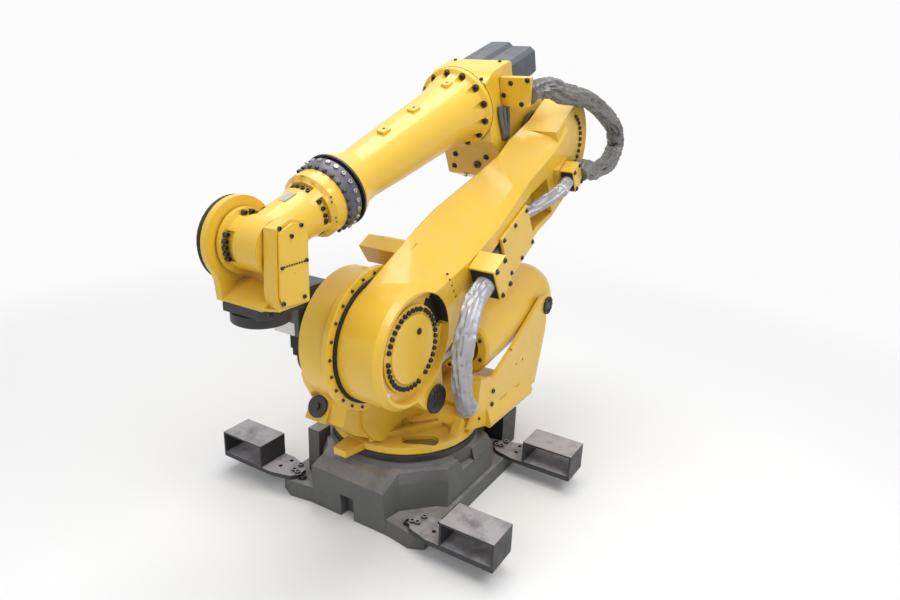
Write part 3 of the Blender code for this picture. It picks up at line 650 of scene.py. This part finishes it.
# Bolts and screws, joined into one piece for each group. An item holds what the adder takes: place, axis,
# radius, height, turn of the head and, for some, the washer's radius.
def shoulder_details():
    """The shoulder's bolts and its seal, which also paints the shadow in the gap, black sheets that paint the
    shade in its opening, and the bolts of the elbow's disc.
    """
    items = []
    for i in range(25):
        items.append((around(SHOULDER, 87.3 - 14.4 * i, 0.2085, 0.103), Y, 0.0046, 0.0045, 0.3 * i))
    group("shoulder_ring_bolts", SCREW, "turret", add_socket_bolt, items)
    # A black seal ring, which also paints the shadow in the gap between the shoulder ring and the drum.
    seal = [(0.160, 0.0), (0.1960, 0.0), (0.1960, 0.0068), (0.160, 0.0068)]
    group("shoulder_seal", RUBBER, "turret", add_ring, [(SHOULDER + 0.1033 * Y, Y, seal)])
    # Black sheets on the floor and wall of the opening: painted shade.
    floor = side_sector(126.5, 170.5, 0.1350, 0.1770, 0.1705, 0.2120, SHOULDER)
    wall = side_sector(123, 171, 0.1495, 0.1530, 0.1705, 0.2490, RECESS_CENTRE)
    group("shoulder_opening_shade", RUBBER, "upper_arm", add_prism, [floor, wall])
    items = []
    for first, last, count in ((12.9, 106.8, 11), (120.5, 234.4, 13), (-106.4, -4.1, 12)):
        for i in range(count):
            degrees = first + (last - first) * i / (count - 1)
            items.append((around(SHOULDER, degrees, 0.1195, 0.234), Y, 0.0072, 0.008, 0.3 * i))
    group("shoulder_cover_bolts", SCREW, "upper_arm", add_socket_bolt, items)
    items = []
    for i in range(-1, 11):
        items.append((around(ELBOW, 124 + 12.6 * i, 0.102, 0.280), Y, 0.0072, 0.0075, 0.3 * i))
    group("elbow_disc_bolts", SCREW, "upper_arm", add_socket_bolt, items)


def forearm_details():
    """Bolts and plugs of the tube, the roll ring, the neck and the knuckle."""
    items = [(tube_bolt_place(i), FORE_DIR, 0.0088, 0.009, 0.3 * i) for i in range(TUBE_BOLTS)]
    group("tube_flange_bolts", SCREW, "forearm", add_socket_bolt, items)
    items = []
    for i in range(24):
        items.append((round_tube(RING_AT + 0.0505, 7.5 + 15 * i, 0.0965), FORE_DIR, 0.0052, 0.0075, 0.3 * i))
    group("roll_ring_bolts", SCREW, "wrist", add_socket_bolt, items)
    items = []
    for i in range(24):
        items.append((round_tube(RING_AT + 0.024, 15 * i, 0.1005), spoke(15 * i), 0.0068, 0.006))
    group("roll_ring_plugs", STEEL, "wrist", add_plug, items)
    items = []
    for degrees in (-17, -3, 11, 25, 60, 76, 92, 106, 140, 156, 172, 195, 210, 258, 275, 292):
        items.append((round_tube(1.100, degrees, 0.0685), spoke(degrees), 0.0062, 0.006, 0.2))
    group("neck_bolts", SCREW, "wrist", add_socket_bolt, items)
    items = []
    for degrees in (23, 10, -2, -14, -25, 83, 102, 121, -113, -130):
        items.append((around(WRIST, degrees, 0.0755, -0.0375), Y, 0.0062, 0.012, 0.2))
    group("knuckle_bolts", SCREW, "wrist", add_socket_bolt, items)


def hand_details():
    """Screws, marks and teeth of the hand, its dark band, and dark discs that paint the shade in the holes of
    the neck's flange.
    """
    items = []
    corner_face = FORK_FACE - 0.007
    for x, y, z in (
        (0.6972, corner_face, 1.0754),
        (0.6313, FORK_FACE, 1.0737),
        (0.6997, FORK_FACE, 0.8905),
        (0.6277, FORK_FACE, 0.8910),
        (0.6653, FORK_FACE, 1.0522),
    ):
        items.append((Vector((x, y, z)), Y, 0.0055, 0.0045, x * 9))
    items.append((Vector((0.6160, FORK_FACE, 0.9830)), Y, 0.0048, 0.0045, 0.4))
    items.append((Vector((0.7010, FORK_FACE, 0.9800)), Y, 0.0042, 0.0045, 0.4))
    group("fork_cover_screws", SCREW, "hand", add_socket_bolt, items)
    items = []
    for i in range(9):
        items.append((Vector((0.6920 - 0.068 * (i / 8), FORK_FACE, 0.9813)), Y, 0.0026, 0.0018))
    group("fork_cover_marks", SCREW, "hand", add_plug, items)
    items = []
    for i in range(12):
        items.append((around(WRIST, 15 + 30 * i, 0.082, -0.115), -Y, 0.0055, 0.005, 0.3 * i))
    group("fork_end_bolts", SCREW, "hand", add_socket_bolt, items)
    items = []
    for i in range(36):
        out = turned_way(10 * i)
        place = (around(WRIST, 10 * i, 0.0985, -0.0985), out, out.cross(Y), -Y)
        items.append((place, (-0.004, -0.0045, -0.0075), (0.0032, 0.0045, 0.0060), 0.001))
    group("fork_end_teeth", YELLOW, "hand", add_block, items)
    band = [(0.100, -0.0903), (0.1118, -0.0903), (0.1118, -0.0803), (0.100, -0.0803)]
    group("fork_seal_band", RUBBER, "hand", add_ring, [(WRIST, Y, band, 64)])
    items = []
    for x, y, z in (
        (0.4768, 0.0821, 1.1153),
        (0.4755, 0.0838, 1.1027),
        (0.4623, 0.0858, 1.0596),
        (0.4570, 0.0835, 1.0468),
    ):
        out = Vector((x, y, z)) - ROLL_BASE
        out -= out.dot(FORE_DIR) * FORE_DIR
        items.append((Vector((x, y, z)), out, 0.0028, 0.0010))
    # Dark discs in the place of the holes: painted shade.
    group("neck_flange_holes", SCREW, "wrist", add_plug, items)


def cap_ribs(centre, count, radius, low, high, chamfer):
    """Blocks that stand like spokes on a round cap."""
    items = []
    for i in range(count):
        out = turned_way(360 / count * i)
        items.append(((centre + radius * out, out, out.cross(Y), Y), low, high, chamfer))
    return items


def turret_details():
    """Bolts of the fork pockets and the bracket, the turret plug, and the ribs on two caps."""
    items = []
    for side in (1, -1):
        for x, _ in POCKET_CENTRES:
            for a, b in ((-0.0465, 0.2437), (-0.0507, 0.2623), (-0.0871, 0.2647)):
                items.append((Vector((x + a, side * b, 0.0763)), Z, 0.0100, 0.010, 0.5 * b, 0.0135))
    group("fork_pocket_bolts", POCKET, "base", add_socket_bolt, items)
    items = [(Vector((-0.1395, BRACKET_FACE, 0.3675)), Y, 0.0085, 0.006, 0.2)]
    items.append((Vector((-0.1354, BRACKET_FACE, 0.318)), Y, 0.0085, 0.006, 0.5))
    items.append((Vector((-0.045, BRACKET_FACE, 0.300)), Y, 0.0055, 0.004, 0.1))
    items.append((Vector((-0.44, BRACKET_FACE, 0.300)), Y, 0.0055, 0.004, 0.4))
    group("bracket_bolts", SCREW, "turret", add_socket_bolt, items)
    axis = Vector((0.85, 0, 0.50)).normalized()
    plug = (Vector((0.407, -0.045, 0.440)) + 0.008 * axis, axis, 0.012, 0.007, 0.2)
    group("turret_plug_head", SCREW, "turret", add_hex_bolt, [plug])
    items = cap_ribs(TRUNNION_CAP, 10, 0.024, (-0.009, -0.0018, -0.001), (0.009, 0.0018, 0.0022), 0.0008)
    group("trunnion_ribs", BLACK, "turret", add_block, items)
    items = cap_ribs(PIN_CAP, 12, 0.030, (-0.010, -0.0016, -0.001), (0.010, 0.0016, 0.0022), 0.0007)
    group("pin_cap_ribs", BLACK, "upper_arm", add_block, items)


def arm_details():
    """Screws and plugs of the upper arm and its clamps, and the bolts of the forearm casing."""
    items = []
    for x, z in ((0.1541, 0.8617), (0.1410, 0.8407), (0.1284, 0.8204), (0.1156, 0.7997), (0.1026, 0.7787)):
        items.append((Vector((x, 0.2465, z)), Vector((0, 1, 0.25)), 0.0036, 0.0045, x * 30))
    group("arm_small_screws", SCREW, "upper_arm", add_socket_bolt, items)
    items = [(Vector((0.4500, 0.250, 0.5813)), Y, 0.0050, 0.005)]
    group("arm_pale_plug", WHITE, "upper_arm", add_plug, items)
    items = [(Vector((0.2879, 0.240, 0.7195)), Y, 0.0095, 0.005), (PIN_CAP, Y, 0.012, 0.004)]
    group("arm_plugs", RUBBER, "upper_arm", add_plug, items)
    items = []
    plate = ((0.545, -0.036), (0.72, -0.045), (0.72, -0.188), (0.545, -0.184), (0.63, -0.040), (0.63, -0.188))
    for along, up in plate:
        items.append((on_arm(along, up, 0.262), Y, 0.006, 0.005, along * 9, 0.009))
    for along, up in ((0.345, -0.080), (0.40, -0.080), (0.345, 0.020), (0.40, 0.020)):
        items.append((on_arm(along, up, 0.345), Y, 0.0065, 0.006, along * 7, 0.010))
    for along, up in ((0.95, -0.105), (0.995, -0.105), (0.95, -0.035), (0.995, -0.035)):
        items.append((on_arm(along, up, 0.350), Y, 0.0055, 0.005, along * 7, 0.009))
    group("arm_screws", SCREW, "upper_arm", add_socket_bolt, items)
    items = []
    for x, y, z in (
        (-0.3511, 0.1630, 1.4001),
        (-0.3643, 0.1330, 1.3591),
        (-0.3474, 0.2263, 1.4117),
        (-0.3727, 0.1986, 1.3328),
    ):
        items.append((Vector((x, y, z)), FORE_DIR, 0.006, 0.005, x * 50, 0.009))
    tops = ((0.13, 0.09, 0.108), (0.13, -0.09, 0.108), (0.275, 0.095, 0.094), (0.275, -0.095, 0.094))
    for along, side, up in tops:
        items.append((on_fore(along, side, up), FORE_UP, 0.0065, 0.004, along * 30))
    group("casing_bolts", SCREW, "forearm", add_socket_bolt, items)


shoulder_details()
forearm_details()
hand_details()
turret_details()
arm_details()


def rounded_path(marks, spacing):
    """Points at an even spacing along a smooth line through the marks."""
    marks = [Vector(mark) for mark in marks]
    ends = [2 * marks[0] - marks[1]] + marks + [2 * marks[-1] - marks[-2]]
    fine = []
    for i in range(1, len(ends) - 2):
        p0, p1, p2, p3 = ends[i - 1 : i + 3]
        for step in range(24):
            t = step / 24
            cubic = (3 * p1 - p0 - 3 * p2 + p3) * t**3
            square = (2 * p0 - 5 * p1 + 4 * p2 - p3) * t**2
            fine.append(0.5 * (2 * p1 + (p2 - p0) * t + square + cubic))
    fine.append(marks[-1])
    lengths = [0.0]
    for here, there in zip(fine, fine[1:]):
        lengths.append(lengths[-1] + (there - here).length)
    count = max(2, round(lengths[-1] / spacing))
    path = []
    at = 0
    for i in range(count + 1):
        goal = lengths[-1] * i / count
        while at < len(fine) - 2 and lengths[at + 1] < goal:
            at += 1
        share = (goal - lengths[at]) / max(lengths[at + 1] - lengths[at], 1e-9)
        path.append(fine[at].lerp(fine[at + 1], min(max(share, 0.0), 1.0)))
    return path


def add_hose(work, marks, radius, wrinkle=0.0, seed=0.0, sides=32, spacing=0.005):
    """A closed tube along the marks; wrinkle is the depth of its creases, in metres."""
    path = rounded_path(marks, spacing)
    side = None
    rings = []
    for i, here in enumerate(path):
        ahead = (path[min(i + 1, len(path) - 1)] - path[max(i - 1, 0)]).normalized()
        if side is None:
            side = ahead.cross(Y if abs(ahead.y) < 0.9 else X)
        side = (side - side.dot(ahead) * ahead).normalized()
        up = ahead.cross(side)
        ring = []
        fade = min(1.0, i / 3, (len(path) - 1 - i) / 3)
        for k in range(sides):
            angle = 2 * math.pi * k / sides
            reach = radius
            if wrinkle:
                # Long folds and pleats that sway a little, short creases across, and fine unevenness.
                sway = 0.5 * noise.noise(Vector((0.0, seed, 9 * i * spacing)))
                round_at = Vector((math.cos(angle + sway), math.sin(angle + sway), 0.0))
                along = Vector((0, 0, i * spacing + seed))
                fold = noise.noise(2.4 * round_at + 5 * along)
                pleat = 1.0 - 2.6 * abs(noise.noise(3.2 * round_at + 3 * along))
                across = 1.0 - 3.0 * abs(noise.noise(0.9 * round_at + 34 * along))
                fine = noise.noise(5.0 * round_at + 60 * along)
                depth = 0.8 * fold - 0.9 * max(pleat, 0.0) ** 2 - 0.35 * max(across, 0.0) ** 3 + 0.12 * fine
                reach += fade * wrinkle * depth
            out = math.cos(angle) * side + math.sin(angle) * up
            ring.append(work.verts.new(here + reach * out))
        rings.append(ring)
    for low, high in zip(rings, rings[1:]):
        for k in range(sides):
            j = (k + 1) % sides
            work.faces.new([low[k], low[j], high[j], high[k]])
    work.faces.new(list(reversed(rings[0])))
    work.faces.new(rings[-1])


def hose_piece(name, marks, radius, node, wrinkle, seed, bodies, material=SLEEVE):
    """A creased sleeve in the place of a plain one, riding on one body or bending between two."""
    work = bmesh.new()
    add_hose(work, marks, radius, wrinkle, seed)
    piece = new_piece(name, work, material)
    for face in piece.data.polygons:
        face.use_smooth = True
    if len(bodies) == 1:
        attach(piece, bodies[0])
    else:
        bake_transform(piece, bodies[0], bodies[1], bodies[2], bodies[3])
    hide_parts(node)
    return piece


def add_band(work, at, axis, radius, half, flat):
    """A collar or tie around a sleeve: half its width, and half the width of its flat."""
    profile = [(radius * 0.9, -half), (radius, -flat), (radius, flat), (radius * 0.9, half)]
    add_turned(work, at, axis, profile, 32)


def turntable_details():
    """A rail over the turntable, a dark sheet on the floor of its oval hollow that paints the shade in it,
    and a black ring at the joint of the tube's flange that paints the shadow in the gap.
    """
    rail = (Vector((0.141, 0.102, 0.0)), Vector((-0.837, 0.548, 0)), Vector((0.548, 0.837, 0)), Z)
    items = [(rail, (-0.132, -0.008, 0.268), (0.132, 0.008, 0.293), 0.002)]
    refine(group("turntable_rail", YELLOW, "turret", add_block, items), 0.0015)
    # A dark sheet on the hollow's floor: painted shade.
    group("turntable_hollow", SHADED, "turret", add_prism, [(OVAL, stadium(0.119, 0.042), -0.0118, -0.0108)])
    # A thin black ring at the joint of the flange and the casing: the joint line and the painted shadow in
    # the gap.
    line = [(0.130, 0.0002), (0.1377, 0.0002), (0.1377, 0.0018), (0.130, 0.0018)]
    items = [(on_fore(TUBE_FRONT - TUBE_FLANGE, 0, 0), FORE_DIR, line, 64)]
    group("tube_flange_shadow_line", RUBBER, "forearm", add_ring, items)


def sleeves():
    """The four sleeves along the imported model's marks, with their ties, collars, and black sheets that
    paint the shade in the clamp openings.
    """
    marks = [(0.085, 0.300, 0.405), (0.135, 0.315, 0.46), (0.172, 0.325, 0.55), (0.172, 0.325, 0.65)]
    marks += [(0.130, 0.318, 0.74), on_arm(0.262, -0.03, 0.300), on_arm(0.3297, -0.03, 0.300)]
    ends = ("turret", "upper_arm", marks[1], marks[4])
    hose_piece("sleeve_lower", marks, 0.0340, "lower_hose", 0.0085, 3.0, ends)
    foot_way = Vector(marks[1]) - Vector(marks[0])

    marks = [on_arm(0.4153, -0.04, 0.290), on_arm(0.430, -0.04, 0.290), on_arm(0.455, -0.055, 0.275)]
    marks += [on_arm(0.49, -0.080, 0.238)]
    marks += [on_arm(0.54, -0.09, 0.2215), on_arm(0.69, -0.098, 0.2215), on_arm(0.745, -0.094, 0.2235)]
    marks += [on_arm(0.80, -0.088, 0.258), on_arm(0.85, -0.078, 0.298)]
    marks += [on_arm(0.89, -0.070, 0.321), on_arm(0.915, -0.070, 0.322), on_arm(0.9397, -0.070, 0.322)]
    hose_piece("sleeve_arm", marks, 0.0235, "arm_hose", 0.0055, 17.0, ("upper_arm",))

    middle = on_arm(1.376, -0.151, 0.340)
    marks = [on_arm(1.0056, -0.082, 0.337), on_arm(1.045, -0.082, 0.337), on_arm(1.115, -0.142, 0.338)]
    marks += [on_arm(1.186, -0.186, 0.338), on_arm(1.275, -0.210, 0.340), on_arm(1.350, -0.207, 0.340)]
    marks += [on_arm(1.376, -0.185, 0.340), middle]
    ends = ("upper_arm", "elbow_unit", marks[1], marks[6])
    hose_piece("sleeve_elbow_lower", marks, 0.0350, "elbow_hose_lower", 0.0105, 29.0, ends, ELBOW_SLEEVE)
    overlap = 0.0040
    marks = [middle - overlap * ARM_UP, on_arm(1.376, -0.115, 0.340), on_arm(1.325, -0.035, 0.335)]
    marks += [on_arm(1.214, 0.097, 0.320), on_arm(1.145, 0.155, 0.305), on_arm(1.08, 0.202, 0.280)]
    marks += [on_fore(0.065, 0.250, 0.002), on_fore(0.120, 0.215, 0.014), on_fore(0.1797, 0.215, 0.014)]
    ends = ("elbow_unit", "forearm", marks[1], marks[7])
    hose_piece("sleeve_elbow_upper", marks, 0.0350, "elbow_hose_upper", 0.0105, 41.0, ends, ELBOW_SLEEVE)

    items = [(on_arm(0.420, -0.04, 0.290), ARM_DIR, 0.0265, 0.004, 0.0032)]
    group("sleeve_collars", RUBBER, "upper_arm", add_band, items)
    items = [(on_arm(0.60, -0.093, 0.2215), ARM_DIR, 0.0252, 0.0035, 0.003)]
    items.append((on_arm(0.70, -0.098, 0.2220), ARM_DIR, 0.0252, 0.0035, 0.003))
    items.append((on_arm(0.885, -0.071, 0.320), ARM_DIR, 0.0262, 0.0035, 0.003))
    group("sleeve_ties", WHITE, "upper_arm", add_band, items)
    profile = [(0.034, -0.003), (0.0365, -0.002), (0.0365, 0.003), (0.034, 0.004)]
    items = [(Vector((0.0885, 0.3005, 0.409)), foot_way, profile, 32)]
    group("sleeve_foot_collar", PLATE, "turret", add_turned, items)

    # Thin black sheets in the open ends of the two clamps, painted shade inside them: place along the arm,
    # outward direction, lowest and highest corner.
    items = []
    for along, way, low, high in (
        (0.330, -1, (-0.084, 0.256, -0.001), (0.024, 0.339, 0.001)),
        (0.940, -1, (-0.110, 0.300, -0.001), (-0.030, 0.345, 0.001)),
        (1.005, 1, (-0.110, 0.300, -0.001), (-0.030, 0.345, 0.001)),
    ):
        items.append(((on_arm(along, 0, 0), ARM_UP, Y, way * ARM_DIR), low, high, 0.004))
    group("clamp_opening_shade", RUBBER, "upper_arm", add_block, items)


def plates_and_pads():
    """Bare plates, the pads on the tube with dark discs that paint the shade in their holes, and the shoulder
    motor's plate, cap, connector and cable.
    """
    neck = (round_tube(1.150, 4, 0.0665), FORE_DIR, -Y, FORE_UP)
    items = [(neck, (-0.024, -0.013, 0.0), (0.024, 0.013, 0.0018), 0.002)]
    group("neck_plate", PLATE, "wrist", add_block, items)
    out = spoke(12)
    items = []
    pad_holes = []
    for along, radius in ((0.734, 0.0854), (0.574, 0.0933), (0.376, 0.1072)):
        pad = (round_tube(along, 12, radius), FORE_DIR, out.cross(FORE_DIR), out)
        items.append((pad, (-0.021, -0.014, -0.010), (0.021, 0.014, 0.008), 0.004))
        pad_holes.append((round_tube(along, 12, radius + 0.0078), out, 0.0050, 0.0008))
    refine(group("tube_pads", YELLOW, "forearm", add_block, items), 0.0018)
    # Dark discs in the place of the pads' holes: painted shade.
    group("tube_pad_holes", SCREW, "forearm", add_plug, pad_holes)
    motor_side = (Vector((0.4283, 0, 0)), Y, Z, X)
    items = [(motor_side, (-0.196, 0.664, 0.0), (-0.112, 0.704, 0.0012), 0.003)]
    group("motor_plate", WHITE, "turret", add_block, items)
    plan = [(-0.065, -0.045), (-0.045, -0.065), (0.045, -0.065), (0.065, -0.045)]
    plan += [(0.065, 0.045), (0.045, 0.065), (-0.045, 0.065), (-0.065, 0.045)]
    plan = [(0.347 + 1.02 * a, 0.730 + 1.02 * b) for a, b in plan]
    items = [((Vector((0, 0, 0)), X, Z, Y), plan, -0.2295, -0.2210)]
    refine(group("motor_cap", RED, "turret", add_prism, items), 0.003)
    below = (Vector((0.372, -0.150, 0.600)), X, Y, Z)
    items = [(below, (-0.020, -0.024, 0.0), (0.020, 0.024, 0.0495), 0.006)]
    items.append((below, (-0.016, -0.019, -0.024), (0.016, 0.019, 0.001), 0.006))
    refine(group("motor_connector", RUBBER, "turret", add_block, items), 0.0025)
    marks = [(0.372, -0.150, 0.585), (0.372, -0.148, 0.555), (0.368, -0.138, 0.530)]
    marks += [(0.350, -0.122, 0.512), (0.325, -0.105, 0.505)]
    group("motor_cable", RUBBER, "turret", add_hose, [(marks, 0.0085, 0.0, 0.0, 14, 0.006)])


def casing_details():
    """Screws and connectors of the two upper motors, cables, and the casing's lower block."""
    items = []
    plugs = []
    for side, low in ((0.060, -0.10), (-0.054, -0.15)):
        for a in (-0.046, 0.046):
            for b in (-0.044, 0.044):
                at = on_fore(low, side + a * 0.84, 0.045 + b * 0.80)
                items.append((at, -FORE_DIR, 0.0042, 0.004, 0.3))
        back = (on_fore(low, side, 0.028), Y, FORE_UP, -FORE_DIR)
        plugs.append((back, (-0.016, -0.016, -0.002), (0.016, 0.016, 0.014), 0.005))
    group("upper_motor_screws", SCREW, "forearm", add_socket_bolt, items)
    refine(group("upper_motor_connectors", RUBBER, "forearm", add_block, plugs), 0.002)

    items = []
    for spread in (-0.028, 0.0, 0.026):
        marks = [(-0.372 + spread, 0.131, 1.322), (-0.384 + spread, 0.130, 1.285)]
        marks += [(-0.398 + 0.7 * spread, 0.130, 1.245)]
        marks += [(-0.410 + 0.5 * spread, 0.125, 1.216), (-0.413 + 0.4 * spread, 0.108, 1.205)]
        items.append((marks, 0.0080, 0.0010, 5.0 + 90 * spread, 14, 0.005))
    group("casing_cables", CABLE, "forearm", add_hose, items)

    out = Vector((0.91, 0, -0.42)).normalized()
    items = []
    for x, y, z, turn in (
        (-0.3868, 0.0646, 1.1411, 0.1),
        (-0.3868, -0.0646, 1.1411, 0.4),
        (-0.4090, 0.0800, 1.0950, 0.7),
        (-0.4090, -0.0800, 1.0950, 0.2),
    ):
        items.append((Vector((x, y, z)), out, 0.0075, 0.007, turn, 0.011))
    group("lower_block_bolts", SCREW, "forearm", add_socket_bolt, items)
    items = [(Vector((-0.4008, 0.0232, 1.1111)), out, 0.014, 0.009)]
    group("lower_block_plug", MOTOR, "forearm", add_plug, items)
    items = [(Vector((-0.4216, -0.0368, 1.0669)), Vector((0.25, 0, -0.97)), 0.007, 0.010)]
    group("lower_block_fitting", STEEL, "forearm", add_plug, items)


def flange_details():
    """Dark discs that paint the shade in the threaded holes of the tool flange, and the screws of the black
    block above it.
    """
    face = 0.203
    items = []
    for i in range(12):
        angle = math.radians(15 + 30 * i)
        at = WRIST + 0.058 * (math.cos(angle) * X + math.sin(angle) * Y) - face * Z
        items.append((at, -Z, 0.0048, 0.0008))
    items.append((WRIST - face * Z, -Z, 0.022, 0.0012))
    # Dark discs in the place of the holes: painted shade.
    group("flange_holes", RUBBER, "tool", add_plug, items)
    items = []
    for x, y in ((0.066, -0.045), (0.066, 0.060), (-0.066, -0.045), (-0.066, 0.060)):
        items.append((WRIST + x * X + y * Y - 0.1453 * Z, Z, 0.0055, 0.005, 0.3))
    for x in (-0.05, -0.017, 0.017, 0.05):
        items.append((WRIST + x * X + 0.088 * Y - 0.157 * Z, Y, 0.0048, 0.004, 0.3))
    group("flange_base_bolts", SCREW, "hand", add_socket_bolt, items)


def balancer_details():
    """Screws at both ends of the balancer's barrel."""
    trunnion = Vector((-0.565, 0.132, 0.571))
    pin = SHOULDER - (0.187 + 0.036 + 0.006) * ARM_UP + 0.132 * Y
    way = (pin - trunnion).normalized()
    one, two = basis(way)
    items = []
    for i in range(8):
        angle = math.radians(22.5 + 45 * i)
        out = math.cos(angle) * one + math.sin(angle) * two
        items.append((trunnion + 0.440 * way + 0.098 * out, way, 0.0065, 0.007, 0.3 * i))
        items.append((trunnion - 0.125 * way + 0.060 * out, -way, 0.0065, 0.007, 0.3 * i))
    group("barrel_bolts", SCREW, "balancer", add_socket_bolt, items)


def base_details():
    """Covers, screws and sockets of the connector box, and the base's own bolts."""
    back = (Vector((-0.45, 0, 0)), Y, Z, -X)
    items = [(back, (-0.185, 0.030, -0.001), (-0.015, 0.142, 0.005), 0.006)]
    items.append((back, (0.010, 0.030, -0.001), (0.215, 0.142, 0.005), 0.006))
    refine(group("connector_covers", BLACK, "base", add_block, items), 0.0015)
    cover_face = -0.455
    items = []
    for y in (-0.175, -0.025, 0.020, 0.205):
        for z in (0.040, 0.132):
            items.append((Vector((cover_face, y, z)), -X, 0.0055, 0.005, y * 20))
    group("connector_screws", SCREW, "base", add_socket_bolt, items)
    items = []
    for y, radius in ((-0.14, 0.022), (-0.06, 0.022), (0.06, 0.026), (0.15, 0.026)):
        profile = [(radius, -0.001), (radius, 0.010), (radius * 0.86, 0.012), (radius * 0.86, 0.022)]
        profile += [(radius * 0.70, 0.022), (radius * 0.68, 0.010), (0.0, 0.010)]
        items.append((Vector((cover_face, y, 0.088)), -X, profile, 28))
    group("connector_sockets", RUBBER, "base", add_turned, items)
    items = []
    for x, y in ((0.275, 0.10), (0.275, -0.10), (-0.275, 0.10), (-0.275, -0.10)):
        items.append((Vector((x, y, 0.178)), Vector((0.5 * x / abs(x), 0, 1)), 0.009, 0.006, 0.3, 0.013))
    for x, y in ((0.30, 0.225), (0.30, -0.225), (-0.30, 0.225), (-0.30, -0.225)):
        items.append((Vector((x, y, 0.060)), Z, 0.011, 0.011, 0.3, 0.016))
    group("base_bolts", SCREW, "base", add_socket_bolt, items)


turntable_details()
sleeves()
plates_and_pads()
casing_details()
flange_details()
balancer_details()
base_details()


# Surroundings: the background's colour, the floor, the lamps and the sky.
NEAR_WHITE = rgb(0.97, 0.97, 0.97)


def seen_directly(n):
    """One for rays from the camera, gloss and glass, and zero for light that falls on things."""
    path = n.add("ShaderNodeLightPath")
    gloss = n.math("MAXIMUM", path.outputs["Is Glossy Ray"], path.outputs["Is Transmission Ray"])
    return n.math("MAXIMUM", path.outputs["Is Camera Ray"], gloss)


def make_stage():
    """A pale floor that curves up behind the object, with a profile of distances and heights."""
    profile = [(-6.0, 0.0), (2.6, 0.0), (3.1, 0.12), (3.45, 0.45), (3.6, 0.95), (3.6, 5.0)]
    away = Vector((math.cos(YAW), math.sin(YAW), 0)).normalized()
    across = Vector((-away.y, away.x, 0))
    half_width = 9
    mesh = bpy.data.meshes.new("floor")
    work = bmesh.new()
    rows = []
    for along, height in profile:
        at = along * away + height * Z
        rows.append([work.verts.new(at - half_width * across), work.verts.new(at + half_width * across)])
    for low, high in zip(rows, rows[1:]):
        work.faces.new([low[0], low[1], high[1], high[0]])
    bmesh.ops.recalc_face_normals(work, faces=work.faces)
    work.to_mesh(mesh)
    work.free()
    floor = bpy.data.objects.new("floor", mesh)
    scene.collection.objects.link(floor)
    bend = floor.modifiers.new("soften", "BEVEL")
    bend.width = 0.3
    bend.segments = 8
    for face in mesh.polygons:
        face.use_smooth = True
    n = Nodes(bpy.data.materials.new("floor_pale"))
    n.set(n.shader.inputs["Base Color"], rgb(0.90, 0.90, 0.89))
    n.set(n.shader.inputs["Roughness"], 0.85)
    far = n.add("ShaderNodeVectorMath", {0: n.place()}, operation="LENGTH")
    glow = n.math("MULTIPLY", n.ramp(far.outputs["Value"], 1.3, 3.2), seen_directly(n))
    plain = n.add("ShaderNodeEmission", {"Color": NEAR_WHITE, "Strength": 1.0})
    blend = n.add("ShaderNodeMixShader", {0: glow, 1: n.shader.outputs[0], 2: plain.outputs[0]})
    n.set(n.tree.nodes["Material Output"].inputs["Surface"], blend.outputs[0])
    floor.data.materials.append(n.owner)


make_stage()


def area_light(name, place, target, size, power):
    """A square lamp, with its size in metres and its power in watts."""
    data = bpy.data.lights.new(name, "AREA")
    data.size = size
    data.energy = power
    lamp = bpy.data.objects.new(name, data)
    lamp.location = place
    lamp.rotation_euler = (Vector(target) - Vector(place)).to_track_quat("-Z", "Y").to_euler()
    scene.collection.objects.link(lamp)


area_light("key_lamp", (0.9, 2.6, 3.9), (0, 0, 0.6), 2.2, 78)
area_light("front_lamp", (3.6, -0.6, 2.6), (0, 0, 0.7), 2.0, 22)
area_light("top_lamp", (-0.5, -0.2, 4.0), (0, 0, 0.6), 2.4, 80)


def make_world():
    """A soft sky that lights at its own level and shows as near white."""
    n = Nodes(bpy.data.worlds.new("world"))
    sky = n.tree.nodes["Background"]
    sky.inputs[0].default_value = (0.92, 0.94, 1.0, 1)
    sky.inputs[1].default_value = 0.40
    white = n.add("ShaderNodeBackground", {"Color": NEAR_WHITE, "Strength": 1.0})
    blend = n.add("ShaderNodeMixShader", {0: seen_directly(n), 1: sky.outputs[0], 2: white.outputs[0]})
    n.set(n.tree.nodes["World Output"].inputs["Surface"], blend.outputs[0])
    scene.world = n.owner


make_world()

bpy.context.view_layer.update()
